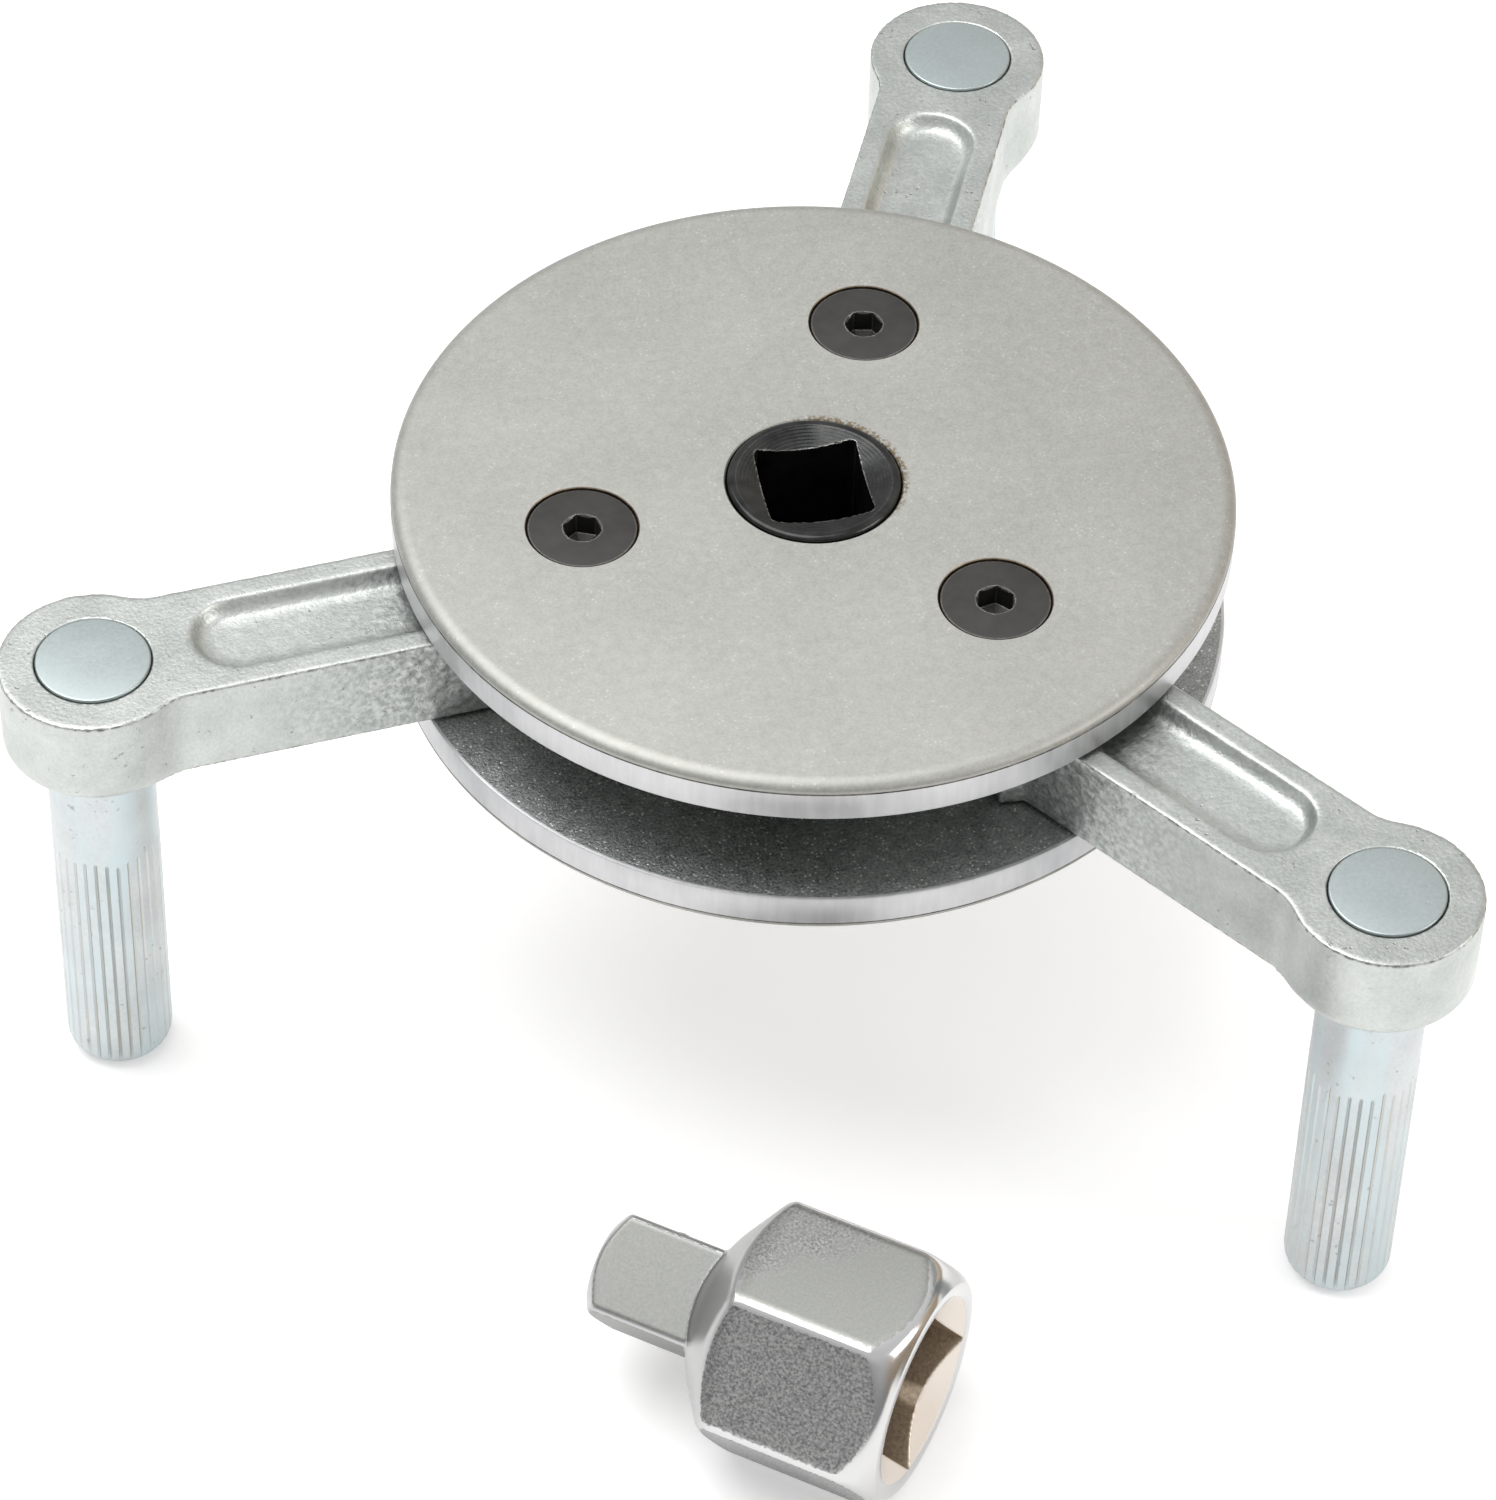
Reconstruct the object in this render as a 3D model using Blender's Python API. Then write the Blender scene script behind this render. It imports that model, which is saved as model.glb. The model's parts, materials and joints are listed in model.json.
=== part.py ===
"""Oil filter wrench with three geared arms, and the square drive adapter that comes with it.

Units are metres, +Z is up, and the origin is on the drive axis at the lower face of the bottom
plate. The sides of the drive square are parallel to X and Y.
"""
import math

import bmesh
import bpy
from mathutils import Matrix, Vector

# Clearances
FACE_GAP = 0.0003
RUNNING_GAP = 0.00015

# Plates
PLATE_RADIUS = 0.0390
PLATE_THICKNESS = 0.0042
PLATE_SPACE = 0.0104
EDGE_ROLL_WIDTH = 0.0015
EDGE_ROLL_HEIGHT = 0.0010
TOP_PLATE_LOW = PLATE_THICKNESS + PLATE_SPACE
TOP_PLATE_HIGH = TOP_PLATE_LOW + PLATE_THICKNESS
PLATE_SEGMENTS = 80
ROUND_SEGMENTS = 32
HALF_ROUND = math.sin(math.radians(45))

# Gears: the drive gear turns three toothed arm hubs; 20 diametral pitch
GEAR_MODULE = 0.00127
PRESSURE_ANGLE = math.radians(20)
DRIVE_TEETH = 18
HUB_TEETH = 17
HUB_TEETH_CUT = 12
TOOTH_THINNING = 0.00004
DEDENDUM_RATIO = 1.25
FLANK_STEPS = 3
PIVOT_RADIUS = GEAR_MODULE * (DRIVE_TEETH + HUB_TEETH) / 2
ARM_ANGLES = [math.radians(66.6 + 120 * turn) for turn in range(3)]

# Drive gear
DRIVE_SQUARE = 0.00969
DRIVE_FLOOR = 0.0030
DRIVE_BOSS_RADIUS = 0.00813
DRIVE_BOSS_HIGH = TOP_PLATE_HIGH + 0.0003
DRIVE_CHAMFER = 0.0005
LEAD_IN_RADIUS = 0.00725
LEAD_IN_SLOPE = 0.375
LEAD_IN_DEPTH = 0.0010

# Arms
ARM_LENGTH = 0.04595
ARM_HALF_WIDTH = 0.0066
ARM_THICKNESS = 0.0097
ARM_LOW = PLATE_THICKNESS + (PLATE_SPACE - ARM_THICKNESS) / 2
ARM_EYE_RADIUS = 0.0087
ARM_NECK_FILLET = 0.0050
HUB_SHOULDER_ANGLE = math.radians(44)
HUB_ROOT_ANGLE = math.radians(46)
HUB_STEPS = 3
FILLET_STEPS = 4
EYE_STEPS = 14
POCKET_HALF_WIDTH = 0.0040
POCKET_INNER = 0.01565
POCKET_OUTER = 0.03245
POCKET_DEPTH = 0.0015
POCKET_DRAFT = 0.0006
POCKET_END_STEPS = 10

# Grip pins, measured from the arm's lower face
PIN_RADIUS = 0.0050
PIN_LENGTH = 0.0408
PIN_COLLAR_LENGTH = 0.0118
PIN_SHANK_RADIUS = 0.0043
PIN_HEAD_RADIUS = 0.00525
PIN_HEAD_HEIGHT = 0.0015
PIN_TIP_ROUND = 0.0020
KNURL_RIDGES = 30
KNURL_DEPTH = 0.0004

# Pivot posts and plate screws
POST_RADIUS = 0.0048
POST_SPIGOT_RADIUS = 0.0030
SCREW_HEAD_RADIUS = 0.0050
SCREW_HEAD_RIM = 0.00025
SCREW_SHANK_RADIUS = 0.0023
SCREW_LENGTH = 0.0120
SCREW_HEX = 0.0032
SCREW_HEX_DEPTH = 0.0022
SCREW_TURNS = [math.radians(angle) for angle in (20, 8, 44)]

# Adapter, measured along its axis from the tip of the male square
ADAPTER_LENGTH = 0.0317
ADAPTER_HEX = 0.0221
ADAPTER_HEX_BEVEL = 0.0009
ADAPTER_END_RADIUS = 0.0103
ADAPTER_END_CHAMFER = 0.0027
ADAPTER_SHOULDER_RADIUS = 0.0113
ADAPTER_SHOULDER_DROP = 0.0007
NECK_RADIUS = 0.00475
NECK_HEIGHT = 0.0102
NECK_SHOULDER_RADIUS = 0.0067
NECK_SHOULDER_HEIGHT = 0.0110
CONE_HEIGHT = 0.0155
MALE_SQUARE = 0.0095
MALE_BEVEL = 0.0006
MALE_ROOT = 0.0150
MALE_TIP_RADIUS = 0.00435
MALE_TIP_CONE_RADIUS = 0.0072
MALE_TIP_CONE_HEIGHT = 0.0020
FEMALE_SQUARE = 0.0129
FEMALE_DEPTH = 0.0150
FEMALE_LEAD_IN_RADIUS = 0.00915
FEMALE_LEAD_IN_SLOPE = 1.5
ADAPTER_SEGMENTS = 40
ADAPTER_TIP = Vector((-0.0282, -0.0532, -0.02515))
ADAPTER_HEADING = math.radians(-36.6)
SQUARE_TURN = math.radians(30)

# Detent ball and spring in the adapter's male square
BALL_RADIUS = 0.0015
BALL_PROUD = 0.0006
BALL_AXIS_HEIGHT = 0.0055
BALL_SEGMENTS = 20
BALL_STEPS = 8
DETENT_BORE_DEPTH = 0.0072
DETENT_MOUTH_RADIUS = 0.00145
DETENT_MOUTH_DEPTH = 0.0002
DETENT_BORE_SEGMENTS = 24
SPRING_RADIUS = 0.0010
SPRING_WIRE_RADIUS = 0.0002
SPRING_LENGTH = 0.0041
SPRING_COILS = 5
POINTS_PER_COIL = 12
POINTS_AROUND_WIRE = 6

FINISHES = {
    "plate_steel": ((0.54, 0.54, 0.51), 0.50, 0.8),
    "zinc": ((0.62, 0.62, 0.60), 0.35, 1.0),
    "black_oxide": ((0.06, 0.06, 0.06), 0.45, 0.6),
    "chrome": ((0.66, 0.66, 0.64), 0.22, 1.0),
    "spring_steel": ((0.40, 0.40, 0.40), 0.35, 1.0),
}


# ---------------------------------------------------------------- scene and materials

def clear_scene():
    for thing in list(bpy.data.objects):
        bpy.data.objects.remove(thing, do_unlink=True)


def make_material(name):
    colour, roughness, metallic = FINISHES[name]
    material = bpy.data.materials.new(name)
    material.use_nodes = True
    shader = material.node_tree.nodes["Principled BSDF"]
    shader.inputs["Base Color"].default_value = (*colour, 1.0)
    shader.inputs["Roughness"].default_value = roughness
    shader.inputs["Metallic"].default_value = metallic
    return material


def add_object(name, mesh, finish, location=(0, 0, 0), turn=0.0, parent=None):
    """Put a mesh in the scene, turned about its own Z axis; the objects of a set may share it."""
    piece = bpy.data.objects.new(name, mesh)
    piece.location = location
    piece.rotation_euler.z = turn
    piece.parent = parent
    bpy.context.collection.objects.link(piece)
    if not mesh.materials:
        mesh.materials.append(bpy.data.materials.get(finish) or make_material(finish))
        mesh.shade_smooth()
        mesh.set_sharp_from_angle(angle=math.radians(30))
    return piece


# ---------------------------------------------------------------- mesh tools

def polar(radius, angle):
    return radius * math.cos(angle), radius * math.sin(angle)


def arc(centre, radius, start, end, steps):
    """Points along a circular arc, both ends included."""
    points = []
    for step in range(steps + 1):
        x, y = polar(radius, start + (end - start) * step / steps)
        points.append((centre[0] + x, centre[1] + y))
    return points


def polygon(across_flats, sides, corner_cut, turn=0.0):
    """A regular polygon with its corners cut off; a flat faces along the turn angle."""
    corner = across_flats / 2 / math.cos(math.pi / sides)
    half_cut = corner_cut / corner
    points = []
    for side in range(sides):
        angle = turn + math.pi / sides * (2 * side + 1)
        radius = corner - corner_cut / 2
        points += [polar(radius, angle - half_cut), polar(radius, angle + half_cut)]
    return points


def regular_polygon(across_flats, sides, turn=0.0):
    corner = across_flats / 2 / math.cos(math.pi / sides)
    return [polar(corner, turn + math.pi / sides * (2 * side + 1)) for side in range(sides)]


def mesh_from_rings(rings, name):
    """Skin a stack of rings, lowest first, into one closed body; a ring of one point is a pole."""
    shape = bmesh.new()
    levels = [[shape.verts.new(point) for point in ring] for ring in rings]
    for low, high in zip(levels, levels[1:]):
        count = max(len(low), len(high))
        for index in range(count):
            following = (index + 1) % count
            corners = [low[index % len(low)], low[following % len(low)],
                       high[following % len(high)], high[index % len(high)]]
            shape.faces.new(list(dict.fromkeys(corners)))
    if len(levels[0]) > 1:
        shape.faces.new(levels[0][::-1])
    if len(levels[-1]) > 1:
        shape.faces.new(levels[-1])
    mesh = bpy.data.meshes.new(name)
    shape.to_mesh(mesh)
    shape.free()
    return mesh


def loft(name, sections):
    """Solid through sections of (outline, height), lowest first, whose outlines match in count."""
    return mesh_from_rings([[(x, y, height) for x, y in outline]
                            for outline, height in sections], name)


def prism(name, outline, low, high):
    return loft(name, [(outline, low), (outline, high)])


def turned(name, profile, segments=ROUND_SEGMENTS):
    """Solid of revolution about Z through (radius, height) points, lowest first."""
    rings = []
    for radius, height in profile:
        count = segments if radius > 0 else 1
        rings.append([(*polar(radius, 2 * math.pi * step / count), height)
                      for step in range(count)])
    return mesh_from_rings(rings, name)


def cylinder(radius, low, high):
    return turned("cylinder", [(radius, low), (radius, high)])


def moved(mesh, matrix):
    mesh.transform(matrix)
    return mesh


def combined(mesh, steps):
    """Apply (operation, tool mesh) steps with exact Boolean modifiers and return the new mesh."""
    body = bpy.data.objects.new("body", mesh)
    bpy.context.collection.objects.link(body)
    tools = []
    for operation, tool_mesh in steps:
        tool = bpy.data.objects.new("tool", tool_mesh)
        bpy.context.collection.objects.link(tool)
        modifier = body.modifiers.new(operation, "BOOLEAN")
        modifier.operation = operation
        modifier.solver = "EXACT"
        modifier.object = tool
        tools.append(tool)
    depsgraph = bpy.context.evaluated_depsgraph_get()
    result = bpy.data.meshes.new_from_object(body.evaluated_get(depsgraph))
    for thing in [body, *tools]:
        bpy.data.objects.remove(thing, do_unlink=True)
    result.name = mesh.name
    return result


def pivot_position(angle, height=0.0):
    return (*polar(PIVOT_RADIUS, angle), height)


def at_pivots(make_mesh):
    """One mesh from make_mesh() at each of the three pivots."""
    return [moved(make_mesh(), Matrix.Translation(pivot_position(angle)))
            for angle in ARM_ANGLES]


# ---------------------------------------------------------------- gear teeth

def involute(angle):
    return math.tan(angle) - angle


def tooth_outline(teeth, centre_angle):
    """One tooth from root to tip and back to root, counterclockwise, with involute flanks."""
    pitch = GEAR_MODULE * teeth / 2
    base = pitch * math.cos(PRESSURE_ANGLE)
    root = pitch - GEAR_MODULE * DEDENDUM_RATIO
    tip = pitch + GEAR_MODULE
    half_at_base = math.pi / (2 * teeth) - TOOTH_THINNING / pitch + involute(PRESSURE_ANGLE)
    flank = [(root, half_at_base)]
    for step in range(FLANK_STEPS + 1):
        radius = base + (tip - base) * step / FLANK_STEPS
        flank.append((radius, half_at_base - involute(math.acos(base / radius))))
    rising = [polar(radius, centre_angle - half) for radius, half in flank]
    falling = [polar(radius, centre_angle + half) for radius, half in reversed(flank)]
    return rising + falling


def drive_gear_outline():
    """All the teeth, with one tooth pointing at each arm's pivot."""
    pitch_angle = 2 * math.pi / DRIVE_TEETH
    outline = []
    for tooth in range(DRIVE_TEETH):
        outline += tooth_outline(DRIVE_TEETH, ARM_ANGLES[0] + tooth * pitch_angle)
    return outline


# ---------------------------------------------------------------- plates

def blank_plate(name, low, rolled_side_up):
    """A stamped disc whose edge is rolled over on its outer face."""
    rolled = [(PLATE_RADIUS, PLATE_THICKNESS - EDGE_ROLL_HEIGHT),
              (PLATE_RADIUS - EDGE_ROLL_WIDTH * (1 - HALF_ROUND),
               PLATE_THICKNESS - EDGE_ROLL_HEIGHT * (1 - HALF_ROUND)),
              (PLATE_RADIUS - EDGE_ROLL_WIDTH, PLATE_THICKNESS)]
    profile = [(PLATE_RADIUS, 0.0), *rolled]
    if not rolled_side_up:
        profile = [(radius, PLATE_THICKNESS - height) for radius, height in reversed(profile)]
    return turned(name, [(radius, low + height) for radius, height in profile], PLATE_SEGMENTS)


def countersink():
    """The screw's hole in the top plate, a gap wider than the screw all over."""
    head = SCREW_HEAD_RADIUS + FACE_GAP
    neck = SCREW_SHANK_RADIUS + 2 * FACE_GAP
    cone_top = TOP_PLATE_HIGH - SCREW_HEAD_RIM - FACE_GAP
    return turned("countersink", [(neck, TOP_PLATE_LOW - FACE_GAP),
                                  (neck, cone_top - (head - neck)),
                                  (head, cone_top),
                                  (head, TOP_PLATE_HIGH + FACE_GAP)])


def make_plates():
    centre_hole = DRIVE_BOSS_RADIUS + FACE_GAP
    top_cuts = [cylinder(centre_hole, 0.0, 2 * TOP_PLATE_HIGH), *at_pivots(countersink)]
    bottom_cuts = [cylinder(centre_hole, -TOP_PLATE_HIGH, TOP_PLATE_LOW)]
    bottom_cuts += at_pivots(
        lambda: cylinder(POST_SPIGOT_RADIUS + FACE_GAP, -PLATE_THICKNESS, TOP_PLATE_LOW))
    top = combined(blank_plate("top_plate", TOP_PLATE_LOW, True),
                   [("DIFFERENCE", cut) for cut in top_cuts])
    bottom = combined(blank_plate("bottom_plate", 0.0, False),
                      [("DIFFERENCE", cut) for cut in bottom_cuts])
    add_object("top_plate", top, "plate_steel")
    add_object("bottom_plate", bottom, "plate_steel")


# ---------------------------------------------------------------- drive gear

def make_drive_gear():
    core = turned("drive_gear", [(DRIVE_BOSS_RADIUS - DRIVE_CHAMFER, 0.0),
                                 (DRIVE_BOSS_RADIUS, DRIVE_CHAMFER),
                                 (DRIVE_BOSS_RADIUS, DRIVE_BOSS_HIGH - DRIVE_CHAMFER),
                                 (DRIVE_BOSS_RADIUS - DRIVE_CHAMFER, DRIVE_BOSS_HIGH)])
    teeth = prism("teeth", drive_gear_outline(), ARM_LOW, ARM_LOW + ARM_THICKNESS)
    square = prism("square", regular_polygon(DRIVE_SQUARE, 4), DRIVE_FLOOR, 2 * TOP_PLATE_HIGH)
    reach = LEAD_IN_DEPTH / LEAD_IN_SLOPE
    lead_in = turned("lead_in", [(LEAD_IN_RADIUS - reach, DRIVE_BOSS_HIGH - LEAD_IN_DEPTH),
                                 (LEAD_IN_RADIUS + reach, DRIVE_BOSS_HIGH + LEAD_IN_DEPTH)])
    mesh = combined(core, [("UNION", teeth), ("DIFFERENCE", square), ("DIFFERENCE", lead_in)])
    add_object("drive_gear", mesh, "black_oxide")


# ---------------------------------------------------------------- arms

def arm_side():
    """Half of the arm's outline, from the hub's shoulder along the beam to the eye's far end."""
    hub_tip = GEAR_MODULE * (HUB_TEETH / 2 + 1)
    hub_root = GEAR_MODULE * (HUB_TEETH / 2 - DEDENDUM_RATIO)
    side_angle = math.asin(ARM_HALF_WIDTH / hub_tip)
    fillet_x = ARM_LENGTH - math.sqrt((ARM_EYE_RADIUS + ARM_NECK_FILLET) ** 2
                                      - (ARM_HALF_WIDTH + ARM_NECK_FILLET) ** 2)
    fillet_centre = (fillet_x, -ARM_HALF_WIDTH - ARM_NECK_FILLET)
    meeting = math.atan2(-fillet_centre[1], ARM_LENGTH - fillet_x)
    side = [polar(hub_root, -HUB_ROOT_ANGLE)]
    side += arc((0, 0), hub_tip, -HUB_SHOULDER_ANGLE, -side_angle, HUB_STEPS)
    side += arc(fillet_centre, ARM_NECK_FILLET, math.pi / 2, meeting, FILLET_STEPS)
    side += arc((ARM_LENGTH, 0), ARM_EYE_RADIUS, meeting - math.pi, 0, EYE_STEPS)[1:]
    return side


def arm_outline():
    """Counterclockwise outline: one side, the eye, the other side, then the hub's teeth."""
    side = arm_side()
    outline = side + [(x, -y) for x, y in reversed(side[:-1])]
    pitch_angle = 2 * math.pi / HUB_TEETH
    for tooth in range(HUB_TEETH_CUT):
        from_middle = tooth - (HUB_TEETH_CUT - 1) / 2
        outline += tooth_outline(HUB_TEETH, math.pi + from_middle * pitch_angle)
    return outline


def pocket_outline(half_width):
    inner = arc((POCKET_INNER, 0), half_width, math.pi / 2, 3 * math.pi / 2, POCKET_END_STEPS)
    outer = arc((POCKET_OUTER, 0), half_width, -math.pi / 2, math.pi / 2, POCKET_END_STEPS)
    return inner + outer


def pocket(upward):
    """A forged pocket with sloping walls, sunk in the arm's upper or lower face."""
    floor = pocket_outline(POCKET_HALF_WIDTH - POCKET_DRAFT)
    mouth = pocket_outline(POCKET_HALF_WIDTH + POCKET_DRAFT)
    if upward:
        return loft("pocket", [(floor, ARM_THICKNESS - POCKET_DEPTH),
                               (mouth, ARM_THICKNESS + POCKET_DEPTH)])
    return loft("pocket", [(mouth, -POCKET_DEPTH), (floor, POCKET_DEPTH)])


def make_arm_mesh():
    blank = prism("arm", arm_outline(), 0.0, ARM_THICKNESS)
    to_eye = Matrix.Translation((ARM_LENGTH, 0, 0))
    eye_bore = cylinder(PIN_SHANK_RADIUS + FACE_GAP, -ARM_THICKNESS, 2 * ARM_THICKNESS)
    head_seat = cylinder(PIN_HEAD_RADIUS + FACE_GAP,
                         ARM_THICKNESS - PIN_HEAD_HEIGHT - FACE_GAP, 2 * ARM_THICKNESS)
    pivot_bore = cylinder(POST_RADIUS + RUNNING_GAP, -ARM_THICKNESS, 2 * ARM_THICKNESS)
    cutters = [pocket(True), pocket(False), pivot_bore,
               moved(eye_bore, to_eye), moved(head_seat, to_eye)]
    return combined(blank, [("DIFFERENCE", cutter) for cutter in cutters])


def pin_ring(radius, height, ridge_depth):
    """A ring of the grip pin, whose every second point is sunk between two knurl ridges."""
    count = 2 * KNURL_RIDGES
    return [(*polar(radius - ridge_depth * (step % 2), 2 * math.pi * step / count), height)
            for step in range(count)]


def make_pin_mesh():
    """A riveted pin: head in the arm's eye, smooth collar below the arm, straight knurl, tip."""
    knurl_top = -PIN_COLLAR_LENGTH
    knurl_low = PIN_TIP_ROUND - PIN_LENGTH
    seat = ARM_THICKNESS - PIN_HEAD_HEIGHT
    head_high = ARM_THICKNESS + FACE_GAP / 2
    head_bevel = FACE_GAP
    rings = [pin_ring(PIN_RADIUS - PIN_TIP_ROUND, -PIN_LENGTH, 0),
             pin_ring(PIN_RADIUS - PIN_TIP_ROUND * (1 - HALF_ROUND),
                      knurl_low - PIN_TIP_ROUND * HALF_ROUND, 0),
             pin_ring(PIN_RADIUS, knurl_low, KNURL_DEPTH),
             pin_ring(PIN_RADIUS, knurl_top - KNURL_DEPTH, KNURL_DEPTH),
             pin_ring(PIN_RADIUS, knurl_top, 0),
             pin_ring(PIN_RADIUS, -FACE_GAP, 0),
             pin_ring(PIN_SHANK_RADIUS, -FACE_GAP, 0),
             pin_ring(PIN_SHANK_RADIUS, seat, 0),
             pin_ring(PIN_HEAD_RADIUS, seat, 0),
             pin_ring(PIN_HEAD_RADIUS, head_high - head_bevel, 0),
             pin_ring(PIN_HEAD_RADIUS - head_bevel, head_high, 0)]
    return mesh_from_rings(rings, "grip_pin")


def make_arms():
    arm_mesh = make_arm_mesh()
    pin_mesh = make_pin_mesh()
    for number, angle in enumerate(ARM_ANGLES, start=1):
        arm = add_object(f"arm_{number}", arm_mesh, "zinc", pivot_position(angle, ARM_LOW), angle)
        add_object(f"grip_pin_{number}", pin_mesh, "zinc", (ARM_LENGTH, 0, 0), parent=arm)


# ---------------------------------------------------------------- posts and screws

def make_post_mesh():
    """Spacer post: a spigot in the bottom plate, a journal for the arm, a hole for the screw."""
    low = PLATE_THICKNESS + FACE_GAP
    high = TOP_PLATE_LOW - FACE_GAP
    blank = turned("pivot_post", [(POST_SPIGOT_RADIUS, 0.0), (POST_SPIGOT_RADIUS, low),
                                  (POST_RADIUS, low), (POST_RADIUS, high)])
    hole_low = TOP_PLATE_HIGH - SCREW_LENGTH - 2 * FACE_GAP
    hole = cylinder(SCREW_SHANK_RADIUS + FACE_GAP, hole_low, TOP_PLATE_HIGH)
    return combined(blank, [("DIFFERENCE", hole)])


def make_screw_mesh():
    """Countersunk screw with a hexagon socket, its head's top just under the plate's face."""
    high = TOP_PLATE_HIGH - FACE_GAP / 2
    cone_top = high - SCREW_HEAD_RIM
    cone_low = cone_top - (SCREW_HEAD_RADIUS - SCREW_SHANK_RADIUS)
    low = TOP_PLATE_HIGH - SCREW_LENGTH
    tip_bevel = 2 * FACE_GAP
    blank = turned("plate_screw", [(SCREW_SHANK_RADIUS - tip_bevel, low),
                                   (SCREW_SHANK_RADIUS, low + tip_bevel),
                                   (SCREW_SHANK_RADIUS, cone_low),
                                   (SCREW_HEAD_RADIUS, cone_top), (SCREW_HEAD_RADIUS, high)])
    socket = prism("socket", regular_polygon(SCREW_HEX, 6), high - SCREW_HEX_DEPTH,
                   high + SCREW_HEX_DEPTH)
    return combined(blank, [("DIFFERENCE", socket)])


def make_posts_and_screws():
    post_mesh = make_post_mesh()
    screw_mesh = make_screw_mesh()
    for number, (angle, turn) in enumerate(zip(ARM_ANGLES, SCREW_TURNS), start=1):
        place = pivot_position(angle)
        add_object(f"pivot_post_{number}", post_mesh, "zinc", place)
        add_object(f"plate_screw_{number}", screw_mesh, "black_oxide", place, turn)


# ---------------------------------------------------------------- adapter

def adapter_empty():
    """The adapter lies on one flat: local Z runs from its male tip along its axis."""
    axis = Vector((math.cos(ADAPTER_HEADING), math.sin(ADAPTER_HEADING), 0))
    up = Vector((0, 0, 1))
    turned_frame = Matrix((up.cross(axis), axis.cross(up.cross(axis)), axis)).transposed()
    empty = bpy.data.objects.new("adapter_pose", None)
    empty.matrix_world = Matrix.Translation(ADAPTER_TIP) @ turned_frame.to_4x4()
    bpy.context.collection.objects.link(empty)
    return empty


def hex_body():
    """The hexagon, turned down to a cone at the male end and chamfered at the female end."""
    corner = ADAPTER_HEX / math.sqrt(3)
    envelope = turned("envelope", [(NECK_RADIUS, NECK_HEIGHT),
                                   (NECK_SHOULDER_RADIUS, NECK_SHOULDER_HEIGHT),
                                   (corner, CONE_HEIGHT),
                                   (corner, ADAPTER_LENGTH - ADAPTER_END_CHAMFER),
                                   (ADAPTER_SHOULDER_RADIUS, ADAPTER_LENGTH - ADAPTER_SHOULDER_DROP),
                                   (ADAPTER_END_RADIUS, ADAPTER_LENGTH)], ADAPTER_SEGMENTS)
    hexagon = polygon(ADAPTER_HEX, 6, ADAPTER_HEX_BEVEL, math.pi / 2)
    blank = prism("adapter_body", hexagon, 0.0, 2 * ADAPTER_LENGTH)
    return combined(blank, [("INTERSECT", envelope)])


def male_square():
    """The square plug with its corners and tip turned down, long enough to enter the hexagon."""
    outline = polygon(MALE_SQUARE, 4, MALE_BEVEL, SQUARE_TURN)
    envelope = turned("envelope", [(MALE_TIP_RADIUS, 0.0),
                                   (MALE_TIP_CONE_RADIUS, MALE_TIP_CONE_HEIGHT),
                                   (MALE_TIP_CONE_RADIUS, MALE_ROOT)], ADAPTER_SEGMENTS)
    blank = prism("plug", outline, -MALE_ROOT, 2 * MALE_ROOT)
    return combined(blank, [("INTERSECT", envelope)])


def detent_frame():
    """Z along the ball's outward direction, from the adapter's axis at the ball's height."""
    return (Matrix.Translation((0, 0, BALL_AXIS_HEIGHT)) @ Matrix.Rotation(SQUARE_TURN, 4, "Z")
            @ Matrix.Rotation(math.pi / 2, 4, "Y"))


def detent_bore():
    """Blind bore for the spring and ball, with a staked mouth that keeps the ball in."""
    flat = MALE_SQUARE / 2
    wall = BALL_RADIUS + FACE_GAP / 2
    bore = turned("detent_bore", [(wall, flat - DETENT_BORE_DEPTH),
                                  (wall, flat - DETENT_MOUTH_DEPTH),
                                  (DETENT_MOUTH_RADIUS, flat - DETENT_MOUTH_DEPTH),
                                  (DETENT_MOUTH_RADIUS, 2 * flat)], DETENT_BORE_SEGMENTS)
    return moved(bore, detent_frame())


def make_detent(parent):
    """The ball, and the coil spring that pushes it out."""
    ball_height = MALE_SQUARE / 2 + BALL_PROUD - BALL_RADIUS
    half_circle = arc((0, 0), BALL_RADIUS, -math.pi / 2, math.pi / 2, BALL_STEPS)
    profile = [(0.0, -BALL_RADIUS), *half_circle[1:-1], (0.0, BALL_RADIUS)]
    ball = moved(turned("adapter_detent_ball", profile, BALL_SEGMENTS),
                 detent_frame() @ Matrix.Translation((0, 0, ball_height)))
    add_object("adapter_detent_ball", ball, "spring_steel", parent=parent)
    add_object("adapter_detent_spring", moved(coil_mesh(), detent_frame()), "spring_steel",
               parent=parent)


def coil_mesh():
    """A round wire coil that stands on the floor of the detent bore."""
    low = MALE_SQUARE / 2 - DETENT_BORE_DEPTH + FACE_GAP + SPRING_WIRE_RADIUS
    rise = SPRING_LENGTH - 2 * SPRING_WIRE_RADIUS
    steps = SPRING_COILS * POINTS_PER_COIL
    rings = []
    for step in range(steps + 1):
        angle = 2 * math.pi * step / POINTS_PER_COIL
        height = low + rise * step / steps
        ring = []
        for part in range(POINTS_AROUND_WIRE):
            out, up = polar(SPRING_WIRE_RADIUS, -2 * math.pi * part / POINTS_AROUND_WIRE)
            ring.append((*polar(SPRING_RADIUS + out, angle), height + up))
        rings.append(ring)
    return mesh_from_rings(rings, "adapter_detent_spring")


def socket_lead_in():
    """The cone that opens the mouth of the female square, deepest where it meets the flats."""
    narrow = FEMALE_SQUARE / 2 - FACE_GAP
    depth = (FEMALE_LEAD_IN_RADIUS - narrow) / FEMALE_LEAD_IN_SLOPE
    wide = FEMALE_LEAD_IN_RADIUS + depth * FEMALE_LEAD_IN_SLOPE
    return turned("socket_lead_in", [(narrow, ADAPTER_LENGTH - depth), (wide, ADAPTER_LENGTH + depth)],
                  ADAPTER_SEGMENTS)


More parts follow.
